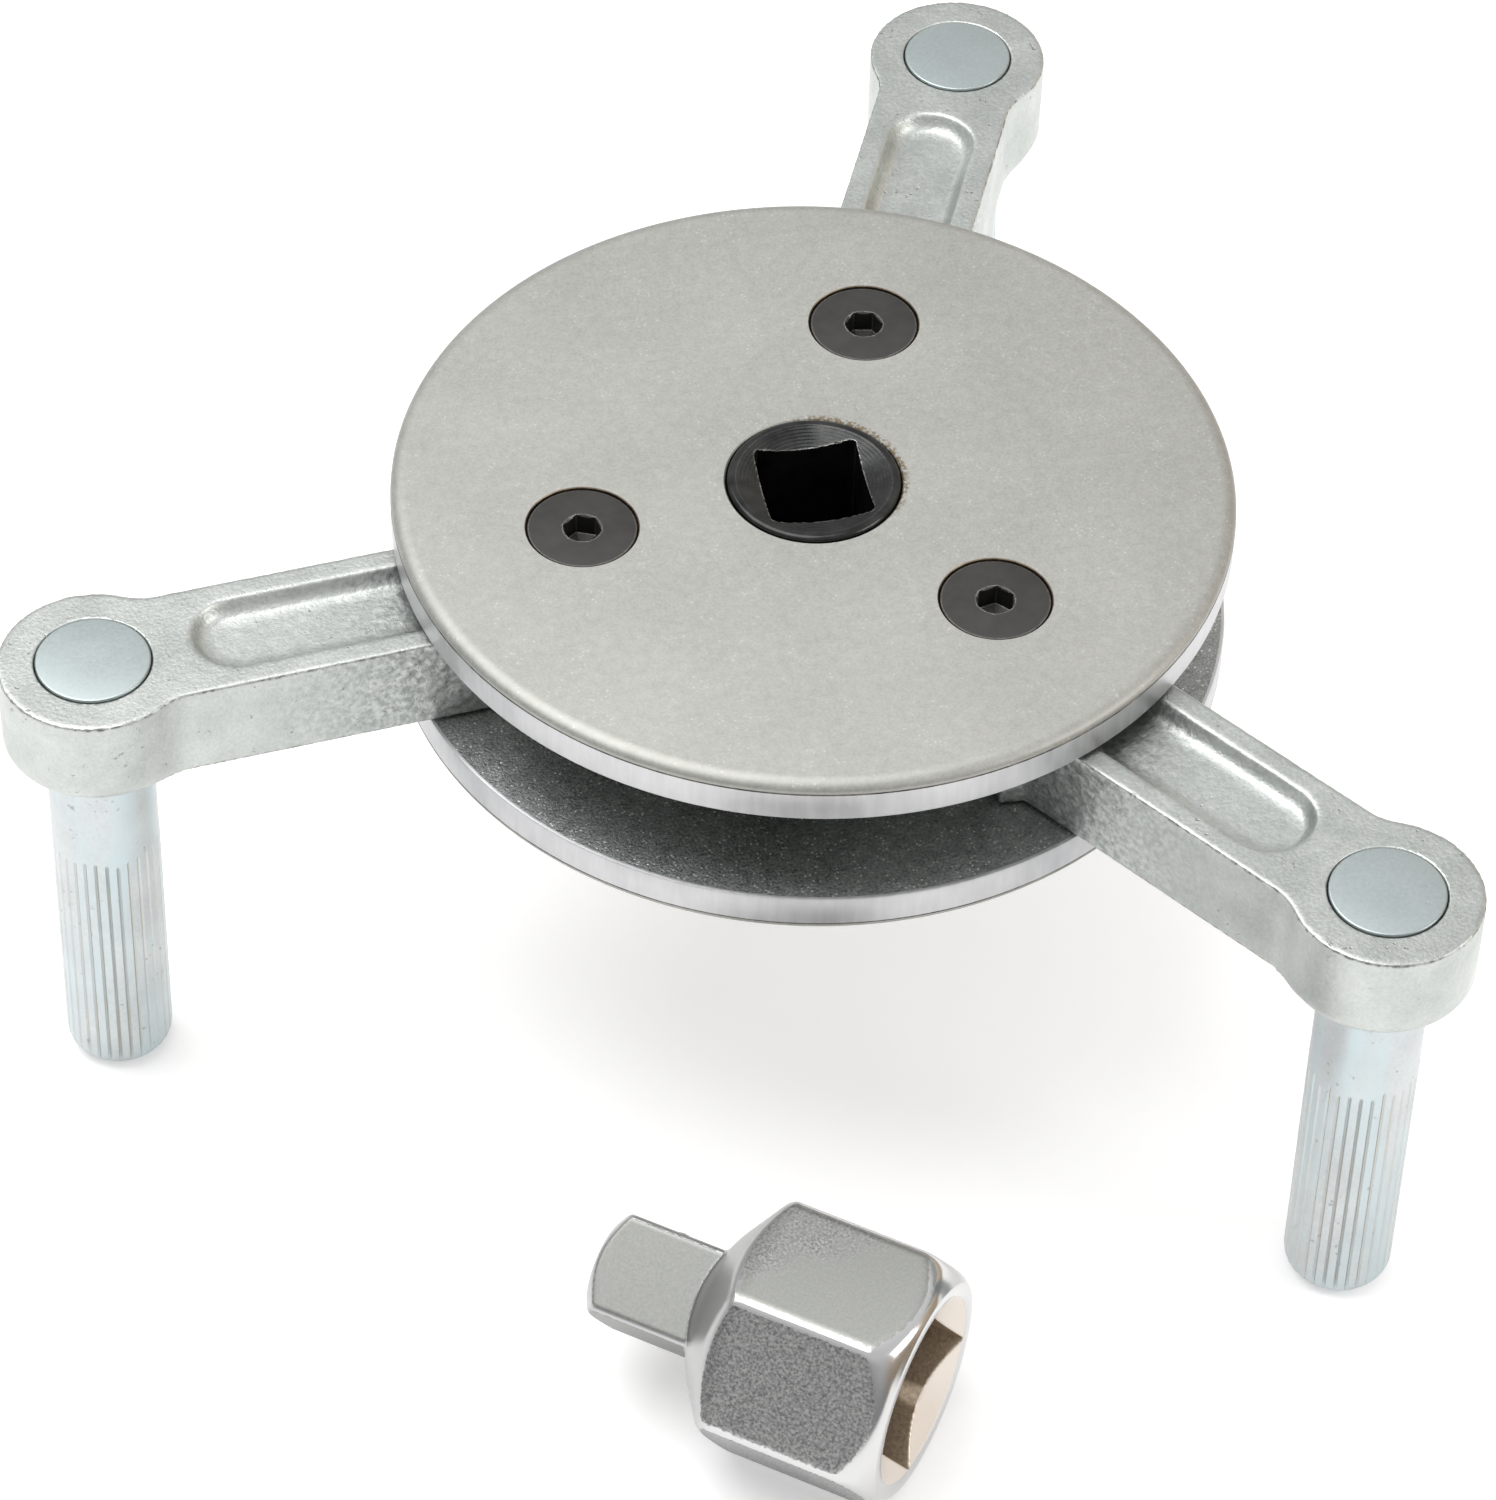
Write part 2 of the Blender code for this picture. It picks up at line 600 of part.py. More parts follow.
def make_adapter():
    socket = prism("socket", regular_polygon(FEMALE_SQUARE, 4, SQUARE_TURN),
                   ADAPTER_LENGTH - FEMALE_DEPTH, 2 * ADAPTER_LENGTH)
    mesh = combined(hex_body(), [("UNION", male_square()), ("DIFFERENCE", socket),
                                 ("DIFFERENCE", socket_lead_in()),
                                 ("DIFFERENCE", detent_bore())])
    parent = adapter_empty()
    add_object("adapter_body", mesh, "chrome", parent=parent)
    make_detent(parent)


clear_scene()
make_plates()
make_drive_gear()
make_arms()
make_posts_and_screws()
make_adapter()
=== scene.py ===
"""Looks of the oil filter wrench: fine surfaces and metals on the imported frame.

Shapes are worked out in millimetres and scaled by MM when they become meshes. Every place comes
from the frame: the nodes' boxes, the joints and the record's mounts.
"""
import json
import math

import bmesh
import bpy
from mathutils import Matrix, Vector, noise


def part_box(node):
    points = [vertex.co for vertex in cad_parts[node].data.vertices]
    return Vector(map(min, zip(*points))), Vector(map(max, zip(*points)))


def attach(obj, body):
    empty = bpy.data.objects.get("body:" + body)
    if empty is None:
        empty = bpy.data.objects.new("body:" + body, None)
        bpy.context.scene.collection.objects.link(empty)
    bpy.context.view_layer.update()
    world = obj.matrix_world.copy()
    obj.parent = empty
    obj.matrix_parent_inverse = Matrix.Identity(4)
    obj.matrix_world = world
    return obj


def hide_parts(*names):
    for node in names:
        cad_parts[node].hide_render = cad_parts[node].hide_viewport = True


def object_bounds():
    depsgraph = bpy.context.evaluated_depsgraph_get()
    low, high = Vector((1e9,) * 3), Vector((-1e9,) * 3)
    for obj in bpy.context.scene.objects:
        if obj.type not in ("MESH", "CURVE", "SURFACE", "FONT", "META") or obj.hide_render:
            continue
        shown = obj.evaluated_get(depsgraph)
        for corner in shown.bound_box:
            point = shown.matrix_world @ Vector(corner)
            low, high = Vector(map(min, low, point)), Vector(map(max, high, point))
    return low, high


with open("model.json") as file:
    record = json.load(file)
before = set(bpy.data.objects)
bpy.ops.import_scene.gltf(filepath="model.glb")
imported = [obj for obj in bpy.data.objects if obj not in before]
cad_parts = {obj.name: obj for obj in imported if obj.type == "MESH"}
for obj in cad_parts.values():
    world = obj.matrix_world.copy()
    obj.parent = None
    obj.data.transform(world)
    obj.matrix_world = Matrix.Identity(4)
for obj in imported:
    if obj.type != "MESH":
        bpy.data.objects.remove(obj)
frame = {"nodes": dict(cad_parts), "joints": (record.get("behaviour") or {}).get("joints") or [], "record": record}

CAD_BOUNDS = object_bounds()
MM = 0.001

# Plates (heights and radii come from the frame)
PLATE_SEGMENTS = 288
EDGE_ROLL_WIDTH = 1.5
EDGE_ROLL_HEIGHT = 0.95
RIM_LINE_HEIGHT = 0.16
RIM_LINE_DEPTH = 0.06
BROKEN_EDGE = [(0.35, 0.0), (0.10, 0.09), (0.0, 0.3)]
ROLL_STEPS = 9
HOLE_SEGMENTS = 128
HOLE_CHAMFER = 0.12
POST_HOLE_RADIUS = 3.25
FACE_SLOT, RIM_SLOT, LINE_SLOT, INNER_SLOT, SEAT_SLOT = range(5)

# Gears
GEAR_MODULE = 1.27
PRESSURE_ANGLE = math.radians(20)
DRIVE_TEETH = 18
HUB_TEETH = 17
HUB_TEETH_CUT = 12
TOOTH_THINNING = 0.05
DEDENDUM_RATIO = 1.25

# The stain beside the drive gear's boss
RUST_DIRECTION = (0.90, 0.43, 0.0)
RUST_REACH = 0.95
RUST_FULL = 0.2
RUST_STRENGTH = 1.6

# Drive gear
DRIVE_SQUARE = 9.69
DRIVE_CORNER_CUT = 0.25
DRIVE_FLOOR = 3.0
BOSS_RADIUS = 8.05
BOSS_GAP = 0.17
BOSS_RIM_ROUND = 0.55
TOOTH_BEVEL = 0.22
LEAD_IN_RADIUS = 7.25
LEAD_IN_SLOPE = 0.375
LEAD_IN_STEPS = 60
CONE_OVERLAP = 0.1
TURNING_PITCH = 0.34
TURNING_DEPTH = 0.013

# Arms
ARM_HALF_WIDTH = 6.6
ARM_EYE_RADIUS = 8.7
ARM_NECK_FILLET = 5.0
ARM_REMESH = 0.24
ARM_SMOOTHING = 3
HUB_SHOULDER_ANGLE = math.radians(44)
# The forged mask also carries painted shade of the plates on the arm's sides near the hub
FORGED_END = 33.0
FORGED_FADE = 15.0
POCKET_HALF_WIDTH = 4.0
POCKET_INNER = 15.65
POCKET_OUTER = 32.45
POCKET_DEPTH = 1.5
POCKET_DRAFT = 0.7
EYE_UNDER_ROUND = 1.5
# Painted shade: the arm's level faces are dimmed to this share of their colour
PAINTED_LEVEL_SHADE = 0.80
HUB_BORE_RADIUS = 4.95

# Grip pins
PIN_RADIUS = 5.0
PIN_HEAD_RADIUS = 5.25
PIN_SHANK_RADIUS = 4.3
PIN_COLLAR_LENGTH = 11.8
PIN_TIP_ROUND = 2.0
PIN_SEAT_GAP = 0.12
PIN_SEAT_DEPTH = 1.9
PIN_HEAD_DEPTH = 1.75
COLLAR_INSET = 0.03
KNURL_RIDGES = 30
KNURL_DEPTH = 0.17
POINTS_PER_RIDGE = 12
GROOVE_END_LENGTH = 1.5
TIP_STEPS = 8
KNURL_LENGTHS = 24

# Screws
SCREW_HEAD_RADIUS = 5.05
SCREW_SHANK_RADIUS = 2.3
SCREW_HEX = 3.2
SCREW_HEX_DEPTH = 2.2
SCREW_MOUTH_RADIUS = 1.78
SCREW_SEAT_GAP = 0.15
SCREW_HOLE_GAP = 0.6
SCREW_RIM = 0.32
SCREW_TURNS = [math.radians(angle) for angle in (20, 8, 44)]

# Adapter, along its axis from the plug's tip
ADAPTER_LENGTH = 31.7
ADAPTER_HEX = 22.1
ADAPTER_END_RADIUS = 10.3
MALE_SQUARE = 9.5
MALE_LENGTH = 10.0
FEMALE_SQUARE = 12.9
FEMALE_DEPTH = 15.0
FLAT_REACH = 0.10  # how far off a flat's plane its blasting fades
SQUARE_TURN = math.radians(30)
PLUG_FLAT_MOUNT_HEIGHT = 5.5
PLUG_TIP_RADIUS = 4.35
PLUG_TIP_SLOPE = 1.42
NECK = [(4.75, 10.2), (6.7, 11.0), (12.76, 15.4)]
END = [(12.76, 29.0), (11.3, 31.0), (10.3, 31.7)]
LEAD_IN_MOUTH_RADIUS = 9.15
LEAD_IN_DEPTH = 1.85
DULL_NECK = (15.0, 16.5)  # the neck's duller metal fades out between these
ADAPTER_POINTS = 384

# Floor and camera
FLOOR_GLOW = 0.30
FLOOR_GAP = 0.0001
FLOOR_HALF = 3.0
WARM = (1.3, 0.98, 0.66, 1)
CAMERA_TARGET = (-0.0088, -0.0160, 0.0009)
CAMERA_AZIMUTH = math.radians(12.05)
CAMERA_ELEVATION = math.radians(46.14)
CAMERA_ROLL = math.radians(1.86)
CAMERA_DISTANCE = 0.5734
CAMERA_LENS = 149.2


# ------------ places from the frame

JOINTS = {joint["name"]: joint for joint in frame["joints"]}
MOUNTS = {mount["name"]: mount for mount in frame["record"]["mounts"]}
ARM_NUMBERS = (1, 2, 3)


def height_range(node):
    low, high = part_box(node)
    return low[2] / MM, high[2] / MM


def middle(node):
    low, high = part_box(node)
    return (Vector(low) + Vector(high)) / 2


def pivot(number):
    x, y, _ = JOINTS[f"arm_{number}_swing"]["pos_m"]
    return Vector((x, y, 0))


def arm_reach(number):
    """From an arm's pivot to its pin, level."""
    reach = middle(f"grip_pin_{number}") - pivot(number)
    reach.z = 0
    return reach


def arm_angle(number):
    reach = arm_reach(number)
    return math.atan2(reach.y, reach.x)


ARM_LENGTH = arm_reach(1).length / MM
ARM_LOW, ARM_HIGH = height_range("arm_1")
ARM_THICKNESS = ARM_HIGH - ARM_LOW
PIN_LOW, PIN_HIGH = height_range("grip_pin_1")
TOP_LOW, TOP_HIGH = height_range("top_plate")
BOTTOM_LOW, BOTTOM_HIGH = height_range("bottom_plate")
PLATE_RADIUS = (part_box("top_plate")[1][0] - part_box("top_plate")[0][0]) / 2 / MM
BOSS_HIGH = height_range("drive_gear")[1]
SCREW_LOW, SCREW_HIGH = height_range("plate_screw_1")


# ------------ shader nodes

# Most of a grain's values lie between these
GRAIN_LOW = 0.3
GRAIN_HIGH = 0.7
GRAIN_ROUGHNESS = 0.6

PAINTED_GLINT = (0.80, 0.80, 0.78)
RUST = (0.17, 0.125, 0.07)
BARE_STEEL_AND_HIGHLIGHT = (0.42, 0.41, 0.39)
PIT = (0.16, 0.15, 0.14)
NICK = (0.10, 0.095, 0.09)
# Forged skin tones, darker than the plating partly as painted shade of the plates
FORGED_AND_SHADED_DARK = (0.28, 0.30, 0.29)
FORGED_AND_SHADED_LIGHT = (0.60, 0.625, 0.61)
GROOVE_BOTTOM_TONE = (0.50, 0.49, 0.455)
POLISHED = (0.58, 0.58, 0.58)


class Finish:
    """A material, with short calls that add and link its nodes."""

    def __init__(self, name):
        self.material = bpy.data.materials.new(name)
        self.material.use_nodes = True
        self.tree = self.material.node_tree
        self.shader = self.tree.nodes["Principled BSDF"]
        self.place = self.add("TexCoord").outputs["Object"]

    def add(self, kind, inputs=None, **settings):
        node = self.tree.nodes.new("ShaderNode" + kind)
        for key, value in settings.items():
            setattr(node, key, value)
        for key, value in (inputs or {}).items():
            self.feed(node.inputs[key], value)
        return node

    def feed(self, socket, value):
        if isinstance(value, bpy.types.NodeSocket):
            self.tree.links.new(value, socket)
        else:
            socket.default_value = value

    def grain(self, size, detail=3.0, stretch=(1, 1, 1)):
        """Noise from 0 to 1 whose features are about size millimetres across."""
        place = self.add("Mapping", {"Vector": self.place, "Scale": stretch}).outputs[0]
        return self.add("TexNoise", {"Vector": place, "Scale": 1 / (size * MM), "Detail": detail,
                                     "Roughness": GRAIN_ROUGHNESS}).outputs["Fac"]

    def cells(self, size):
        """Distance to the nearest of scattered points, about size millimetres apart."""
        return self.add("TexVoronoi", {"Vector": self.place,
                                       "Scale": 1 / (size * MM)}).outputs["Distance"]

    def span(self, value, low=GRAIN_LOW, high=GRAIN_HIGH, start=0.0, end=1.0):
        """Map low..high to start..end, clamped."""
        return self.add("MapRange", {"Value": value, "From Min": low, "From Max": high,
                                     "To Min": start, "To Max": end}).outputs[0]

    def maths(self, operation, first, second):
        return self.add("Math", {0: first, 1: second}, operation=operation).outputs[0]

    def times(self, first, second):
        return self.maths("MULTIPLY", first, second)

    def plus(self, first, second):
        return self.maths("ADD", first, second)

    def painted(self, name):
        """The value that the mesh's points carry under a name."""
        return self.add("Attribute", attribute_name=name).outputs["Fac"]

    def height(self):
        return self.add("SeparateXYZ", {0: self.place}).outputs["Z"]

    def blend(self, factor, first, second):
        node = self.add("Mix", data_type="RGBA")
        self.feed(node.inputs[0], factor)
        for socket, colour in ((6, first), (7, second)):
            self.feed(node.inputs[socket], (*colour, 1) if isinstance(colour, tuple) else colour)
        return node.outputs[2]

    def scaled(self, colour, factor):
        return self.add("VectorMath", {0: colour, "Scale": factor}, operation="SCALE").outputs[0]

    def facing_up(self):
        """How far the surface faces up in the piece's own frame, from -1 to 1."""
        normal = self.add("TexCoord").outputs["Normal"]
        return self.add("SeparateXYZ", {0: normal}).outputs["Z"]

    def bump(self, height, depth, after=None):
        """A bump whose full height is depth millimetres, on top of an earlier bump."""
        inputs = {"Height": height, "Distance": depth * MM, "Strength": 1.0}
        if after:
            inputs["Normal"] = after
        return self.add("Bump", inputs).outputs[0]

    def edge(self, radius):
        """About 1 on edges sharper than the radius in millimetres, 0 on open faces."""
        softened = self.add("Bevel", {"Radius": radius * MM}, samples=4).outputs[0]
        normal = self.add("NewGeometry").outputs["Normal"]
        level = self.add("VectorMath", {0: softened, 1: normal}, operation="DOT_PRODUCT")
        return self.span(level.outputs["Value"], 0.995, 0.90)

    def finish(self, colour, roughness, metallic, normal=None):
        self.feed(self.shader.inputs["Base Color"], colour)
        self.feed(self.shader.inputs["Roughness"], roughness)
        self.feed(self.shader.inputs["Metallic"], metallic)
        if normal:
            self.feed(self.shader.inputs["Normal"], normal)
        return self.material


def blasted_steel(name, light, dark, roughness, depth, glint_amount=0.0, stained=False):
    """Shot-blasted face: a fine matt grain with slow patches, and painted glints where asked."""
    metal = Finish(name)
    fine = metal.grain(0.28, 4.0)
    middling = metal.grain(1.1)
    patches = metal.grain(14.0, 2.0)
    tone = metal.times(metal.span(fine, 0.36, 0.64), 0.45)
    tone = metal.plus(tone, metal.times(metal.span(patches), 0.25))
    tone = metal.plus(tone, metal.times(metal.span(middling), 0.3))
    colour = metal.blend(tone, dark, light)
    # Painted glints: bright points put in the colour where the blasted grain would catch light
    more = 0.15 * glint_amount
    glint = metal.times(metal.span(metal.cells(0.5), 0.27, 0.12),
                        metal.span(metal.grain(2.2, 1.0), 0.55 - more, 0.67 - more))
    colour = metal.blend(metal.times(glint, glint_amount), colour, PAINTED_GLINT)
    if stained:
        colour = metal.blend(rust_mask(metal), colour, RUST)
    rough = metal.span(fine, start=roughness - 0.06, end=roughness + 0.06)
    return metal.finish(colour, rough, 0.9, metal.bump(fine, depth))


def rust_mask(metal):
    """A grainy stain against the drive gear's boss, strongest on its back right side."""
    flat = metal.add("VectorMath", {0: metal.place, 1: (1, 1, 0)}, operation="MULTIPLY").outputs[0]
    distance = metal.add("VectorMath", {0: flat}, operation="LENGTH").outputs["Value"]
    sideways = metal.add("VectorMath", {0: flat, 1: RUST_DIRECTION}, operation="DOT_PRODUCT")
    near = metal.span(distance, (BOSS_RADIUS + RUST_REACH) * MM, (BOSS_RADIUS + RUST_FULL) * MM)
    facing = metal.span(sideways.outputs["Value"], 2.0 * MM, 6.5 * MM)
    grainy = metal.span(metal.grain(0.35, 4.0), 0.42, 0.60)
    amount = metal.times(metal.times(near, facing), RUST_STRENGTH)
    return metal.span(metal.times(amount, grainy), 0.08, 0.7, 0.0, 0.85)


def sheared_steel(name, light, dark, roughness):
    """A sheared edge: light, with short drag marks that run across it."""
    metal = Finish(name)
    drag = metal.grain(0.8, stretch=(1, 1, 0.12))
    cloud = metal.grain(6.0, 2.0)
    colour = metal.blend(metal.span(metal.plus(drag, cloud), 0.7, 1.3), dark, light)
    rough = metal.span(drag, start=roughness - 0.03, end=roughness + 0.06)
    return metal.finish(colour, rough, 1.0, metal.bump(drag, 0.008))


def black_oxide(name, dark, light, roughness):
    """Black oxide, rubbed to bare steel on its edges, a light edge that is partly painted highlight."""
    metal = Finish(name)
    cloud = metal.grain(2.5)
    fine = metal.grain(0.25)
    base = metal.blend(metal.span(cloud), dark, light)
    # Light edge colour: part wear to bare steel, part painted highlight along the rims
    worn = metal.times(metal.edge(0.25), metal.span(fine, 0.35, 0.65, 0.25, 1.0))
    colour = metal.blend(worn, base, BARE_STEEL_AND_HIGHLIGHT)
    rough = metal.span(cloud, start=roughness, end=roughness + 0.1)
    return metal.finish(colour, rough, 0.85, metal.bump(fine, 0.004))


def forged_marks_and_painted_shade(metal, colour):
    """Dark edge nicks, mottled forged skin partly darkened as painted shade, painted shade on level faces."""
    beads = metal.span(metal.grain(0.7), 0.48, 0.58)
    nicks = metal.times(metal.span(metal.painted("edge"), 0.35, 0.9), beads)
    colour = metal.blend(metal.times(nicks, 0.85), colour, NICK)
    # Forged skin near the hub: its own mottle, and partly painted shade of the plates
    mottle = metal.span(metal.grain(0.6), 0.38, 0.62)
    forged_and_shaded_tone = metal.blend(mottle, FORGED_AND_SHADED_DARK, FORGED_AND_SHADED_LIGHT)
    colour = metal.blend(metal.times(metal.painted("forged"), 0.8), colour, forged_and_shaded_tone)
    # Painted shade: faces that point up are dimmed
    return metal.scaled(colour, metal.span(metal.facing_up(), 0.90, 0.99, 1.0, PAINTED_LEVEL_SHADE))


def plated_steel(name, light, dark, roughness, depth, tint=None, pitted=0.5, nicked=False,
                 grooved=False):
    """Bright zinc over forged steel: soft clouds, small pits, and marks where asked."""
    metal = Finish(name)
    cloud = metal.grain(5.0, 4.0)
    fine = metal.grain(0.35)
    mottle = metal.plus(metal.times(cloud, 0.55), metal.times(fine, 0.45))
    colour = metal.blend(metal.span(mottle, 0.34, 0.66), dark, light)
    if tint:
        film = metal.grain(2.5, 2.0, stretch=(1, 1, 0.12))
        colour = metal.blend(metal.span(film, 0.42, 0.68, 0.0, 0.8), colour, tint)
    scattered = metal.span(metal.grain(3.0, 1.0), 0.52, 0.60)
    marks = metal.maths("MAXIMUM", metal.span(metal.cells(1.5), 0.11, 0.05),
                        metal.span(metal.grain(0.8), 0.645, 0.70))
    pits = metal.times(marks, scattered)
    colour = metal.blend(metal.times(pits, pitted), colour, PIT)
    if nicked:
        colour = forged_marks_and_painted_shade(metal, colour)
    if grooved:
        # Warmer, darker colour towards the bottom of the knurl's grooves, in streaks
        streaks = metal.span(metal.grain(0.8, stretch=(1, 1, 0.15)), 0.35, 0.65, 0.45, 1.0)
        colour = metal.blend(metal.times(metal.painted("groove"), streaks), colour, GROOVE_BOTTOM_TONE)
    bump = metal.bump(fine, depth)
    bump = metal.bump(metal.maths("SUBTRACT", 1.0, pits), 0.08 * pitted, bump)
    rough = metal.span(fine, start=roughness - 0.04, end=roughness + 0.06)
    return metal.finish(colour, rough, 1.0, bump)


def adapter_metal():
    """Nickel: polished, but blasted where the mesh's blasted value is 1, smoother if worn."""
    metal = Finish("satin_nickel")
    fine = metal.grain(0.27, 4.0)
    uneven = metal.span(metal.grain(0.5, 2.0), start=-0.25, end=0.25)
    blasted = metal.span(metal.plus(metal.painted("blasted"), uneven), 0.35, 0.65)
    patches = metal.span(metal.grain(3.5, 2.0), 0.35, 0.65, -0.2, 0.2)
    worn = metal.span(metal.plus(metal.painted("worn"), patches), 0.1, 0.8)
    rough_tone = metal.blend(metal.span(fine, 0.36, 0.66), (0.17, 0.175, 0.18),
                             (0.46, 0.46, 0.45))
    worn_tone = metal.blend(metal.span(fine), (0.30, 0.305, 0.288), (0.36, 0.365, 0.345))
    colour = metal.blend(blasted, POLISHED, metal.blend(worn, rough_tone, worn_tone))

    def along(start, end):
        """From one value to another where the neck's duller metal ends."""
        return metal.span(metal.height(), DULL_NECK[0] * MM, DULL_NECK[1] * MM, start, end)

    colour = metal.scaled(colour, along(0.78, 1.0))
    relief = metal.times(fine, metal.maths("SUBTRACT", blasted, metal.times(worn, 0.7)))
    rough = metal.add("Mix", {0: blasted, 2: along(0.32, 0.16), 3: 0.44})
    return metal.finish(colour, rough.outputs[0], 1.0, metal.bump(relief, 0.025))


def socket_metal():
    """Inside of the socket: a pale tan cone at the mouth, brown walls with painted shade that deepens with depth.
    """
    metal = Finish("socket_wall")
    fine = metal.grain(0.3)
    brown = metal.blend(metal.span(fine), (0.38, 0.30, 0.22), (0.62, 0.51, 0.39))
    near_mouth = metal.span(metal.height(), (ADAPTER_LENGTH - 6) * MM, (ADAPTER_LENGTH - 3) * MM,
                            0.5, 1.0)
    # Painted shade: the walls darken towards the bottom of the socket
    brown = metal.blend(near_mouth, (0.08, 0.06, 0.045), brown)
    # The cone's pale tan against the walls' brown is partly painted light and shade
    colour = metal.blend(metal.painted("wall"), (0.72, 0.66, 0.60), brown)
    return metal.finish(colour, 0.40, 0.8, metal.bump(fine, 0.01))


FACE = blasted_steel("plate_face", (0.45, 0.45, 0.425), (0.32, 0.32, 0.30), 0.52, 0.010,
                     glint_amount=0.25, stained=True)
# Faces between the plates: a darker tone, partly the steel's own and partly painted shade
INNER_TONE_AND_SHADE = blasted_steel("plate_inner_face", (0.50, 0.52, 0.51), (0.09, 0.095, 0.092), 0.42, 0.07,
                      glint_amount=1.0)
RIM = sheared_steel("plate_rim", (0.60, 0.60, 0.61), (0.48, 0.48, 0.49), 0.42)
LINE = sheared_steel("rim_line", (0.30, 0.28, 0.25), (0.03, 0.028, 0.025), 0.6)
SEAT = sheared_steel("screw_seat", (0.32, 0.26, 0.19), (0.10, 0.08, 0.06), 0.45)
BLACK = black_oxide("boss_oxide", (0.018, 0.019, 0.019), (0.046, 0.048, 0.046), 0.14)
SCREW = black_oxide("screw_oxide", (0.050, 0.049, 0.046), (0.064, 0.063, 0.060), 0.42)
ARM = plated_steel("arm_zinc", (0.605, 0.63, 0.61), (0.43, 0.455, 0.437), 0.42, 0.045,
                   nicked=True)
PIN = plated_steel("pin_zinc", (0.58, 0.605, 0.61), (0.46, 0.485, 0.49), 0.34, 0.010,
                   tint=(0.50, 0.585, 0.61), grooved=True)
HEAD = plated_steel("pin_head", (0.41, 0.46, 0.46), (0.37, 0.415, 0.415), 0.36, 0.003,
                    pitted=0.1)
POST = sheared_steel("post_steel", (0.60, 0.60, 0.58), (0.42, 0.42, 0.40), 0.35)
NICKEL = adapter_metal()
SOCKET = socket_metal()
SPRING = plated_steel("detent_steel", (0.62, 0.62, 0.61), (0.45, 0.45, 0.44), 0.2, 0.003,
                      pitted=0.0)


# ------------ mesh tools

NEARLY_STRAIGHT = 1.55


def clamped(value):
    return min(1.0, max(0.0, value))


def point_values(mesh, *names):
    """New named values, one for each point of the mesh, that materials read."""
    for name in names:
        mesh.attributes.new(name, "FLOAT", "POINT")
    return [mesh.attributes[name].data for name in names]


def polar(radius, angle):
    return radius * math.cos(angle), radius * math.sin(angle)


def arc(centre, radius, start, end, steps):
    """Points along a circular arc, both ends included."""
    return [(centre[0] + radius * math.cos(start + (end - start) * step / steps),
             centre[1] + radius * math.sin(start + (end - start) * step / steps))
            for step in range(steps + 1)]


def even_angles(count):
    return [2 * math.pi * step / count for step in range(count)]


def ring(radius_at, height, angles):
    """Points around the axis; the radius is a number or a function of the angle."""
    radius_of = radius_at if callable(radius_at) else lambda angle: radius_at
    return [(*polar(radius_of(angle), angle), height) for angle in angles]


def skin(name, rings, bands=None):
    """Closed body through a stack of rings, lowest first, in millimetres.

    A ring of one point is a pole. bands gives each gap between rings its material number.
    """
    shape = bmesh.new()
    levels = [[shape.verts.new(point) for point in points] for points in rings]
    for index, (low, high) in enumerate(zip(levels, levels[1:])):
        count = max(len(low), len(high))
        for step in range(count):
            following = (step + 1) % count
            corners = [low[step % len(low)], low[following % len(low)],
                       high[following % len(high)], high[step % len(high)]]
            face = shape.faces.new(list(dict.fromkeys(corners)))
            face.material_index = bands[index] if bands else 0
    for level, last in ((levels[0], False), (levels[-1], True)):
        if len(level) > 1:
            face = shape.faces.new(level if last else level[::-1])
            face.material_index = (bands[-1] if last else bands[0]) if bands else 0
    mesh = bpy.data.meshes.new(name)
    shape.to_mesh(mesh)
    shape.free()
    return mesh


def filleted(corners, steps):
    """A path of (radius, height, fillet) corners, rounded by smooth curves; ends stay sharp."""
    path = [corners[0][:2]]
    for before, here, after in zip(corners, corners[1:], corners[2:]):
        point, size = Vector(here[:2]), here[2]
        back = (Vector(before[:2]) - point).normalized()
        ahead = (Vector(after[:2]) - point).normalized()
        half = back.angle(ahead) / 2
        if size == 0 or half > NEARLY_STRAIGHT:
            path.append(tuple(point))
            continue
        reach = size / math.tan(half)
        for step in range(steps + 1):
            share = step / steps
            low, high = point + back * reach, point + ahead * reach
            path.append(tuple(low * (1 - share) ** 2 + point * 2 * share * (1 - share)
                              + high * share ** 2))
    path.append(corners[-1][:2])
    return path


def turned(name, profile, segments, bands=None):
    """Solid of revolution through (radius, height) points in millimetres, lowest first."""
    angles = even_angles(segments)
    rings = [ring(radius, height, angles) if radius > 0 else [(0, 0, height)]
             for radius, height in profile]
    return skin(name, rings, bands)


def moved(mesh, matrix):
    mesh.transform(matrix)
    return mesh


def evaluated(body):
    """A new mesh from an object with its modifiers applied; the object is removed."""
    depsgraph = bpy.context.evaluated_depsgraph_get()
    result = bpy.data.meshes.new_from_object(body.evaluated_get(depsgraph))
    result.name = body.data.name
    bpy.data.objects.remove(body, do_unlink=True)
    return result


def placed(name, data):
    """A new object in the scene."""
    body = bpy.data.objects.new(name, data)
    bpy.context.collection.objects.link(body)
    return body


def cut(mesh, tools):
    """The mesh less each tool, by exact Boolean modifiers."""
    body = placed("blank", mesh)
    cutters = [placed("cutter", tool) for tool in tools]
    for cutter in cutters:
        modifier = body.modifiers.new("cut", "BOOLEAN")
        modifier.operation = "DIFFERENCE"
        modifier.solver = "EXACT"
        modifier.object = cutter
    result = evaluated(body)
    for cutter in cutters:
        bpy.data.objects.remove(cutter, do_unlink=True)
    return result


def show(name, mesh, materials, body, nodes, matrix=None, sharp=35):
    """Add a finished piece, in metres, that rides on a body and stands for CAD nodes."""
    if not mesh.materials:
        for material in materials:
            mesh.materials.append(material)
        mesh.shade_smooth()
        mesh.set_sharp_from_angle(angle=math.radians(sharp))
    piece = placed(name, mesh)
    if matrix:
        piece.matrix_world = matrix
    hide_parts(*nodes)
    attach(piece, body)


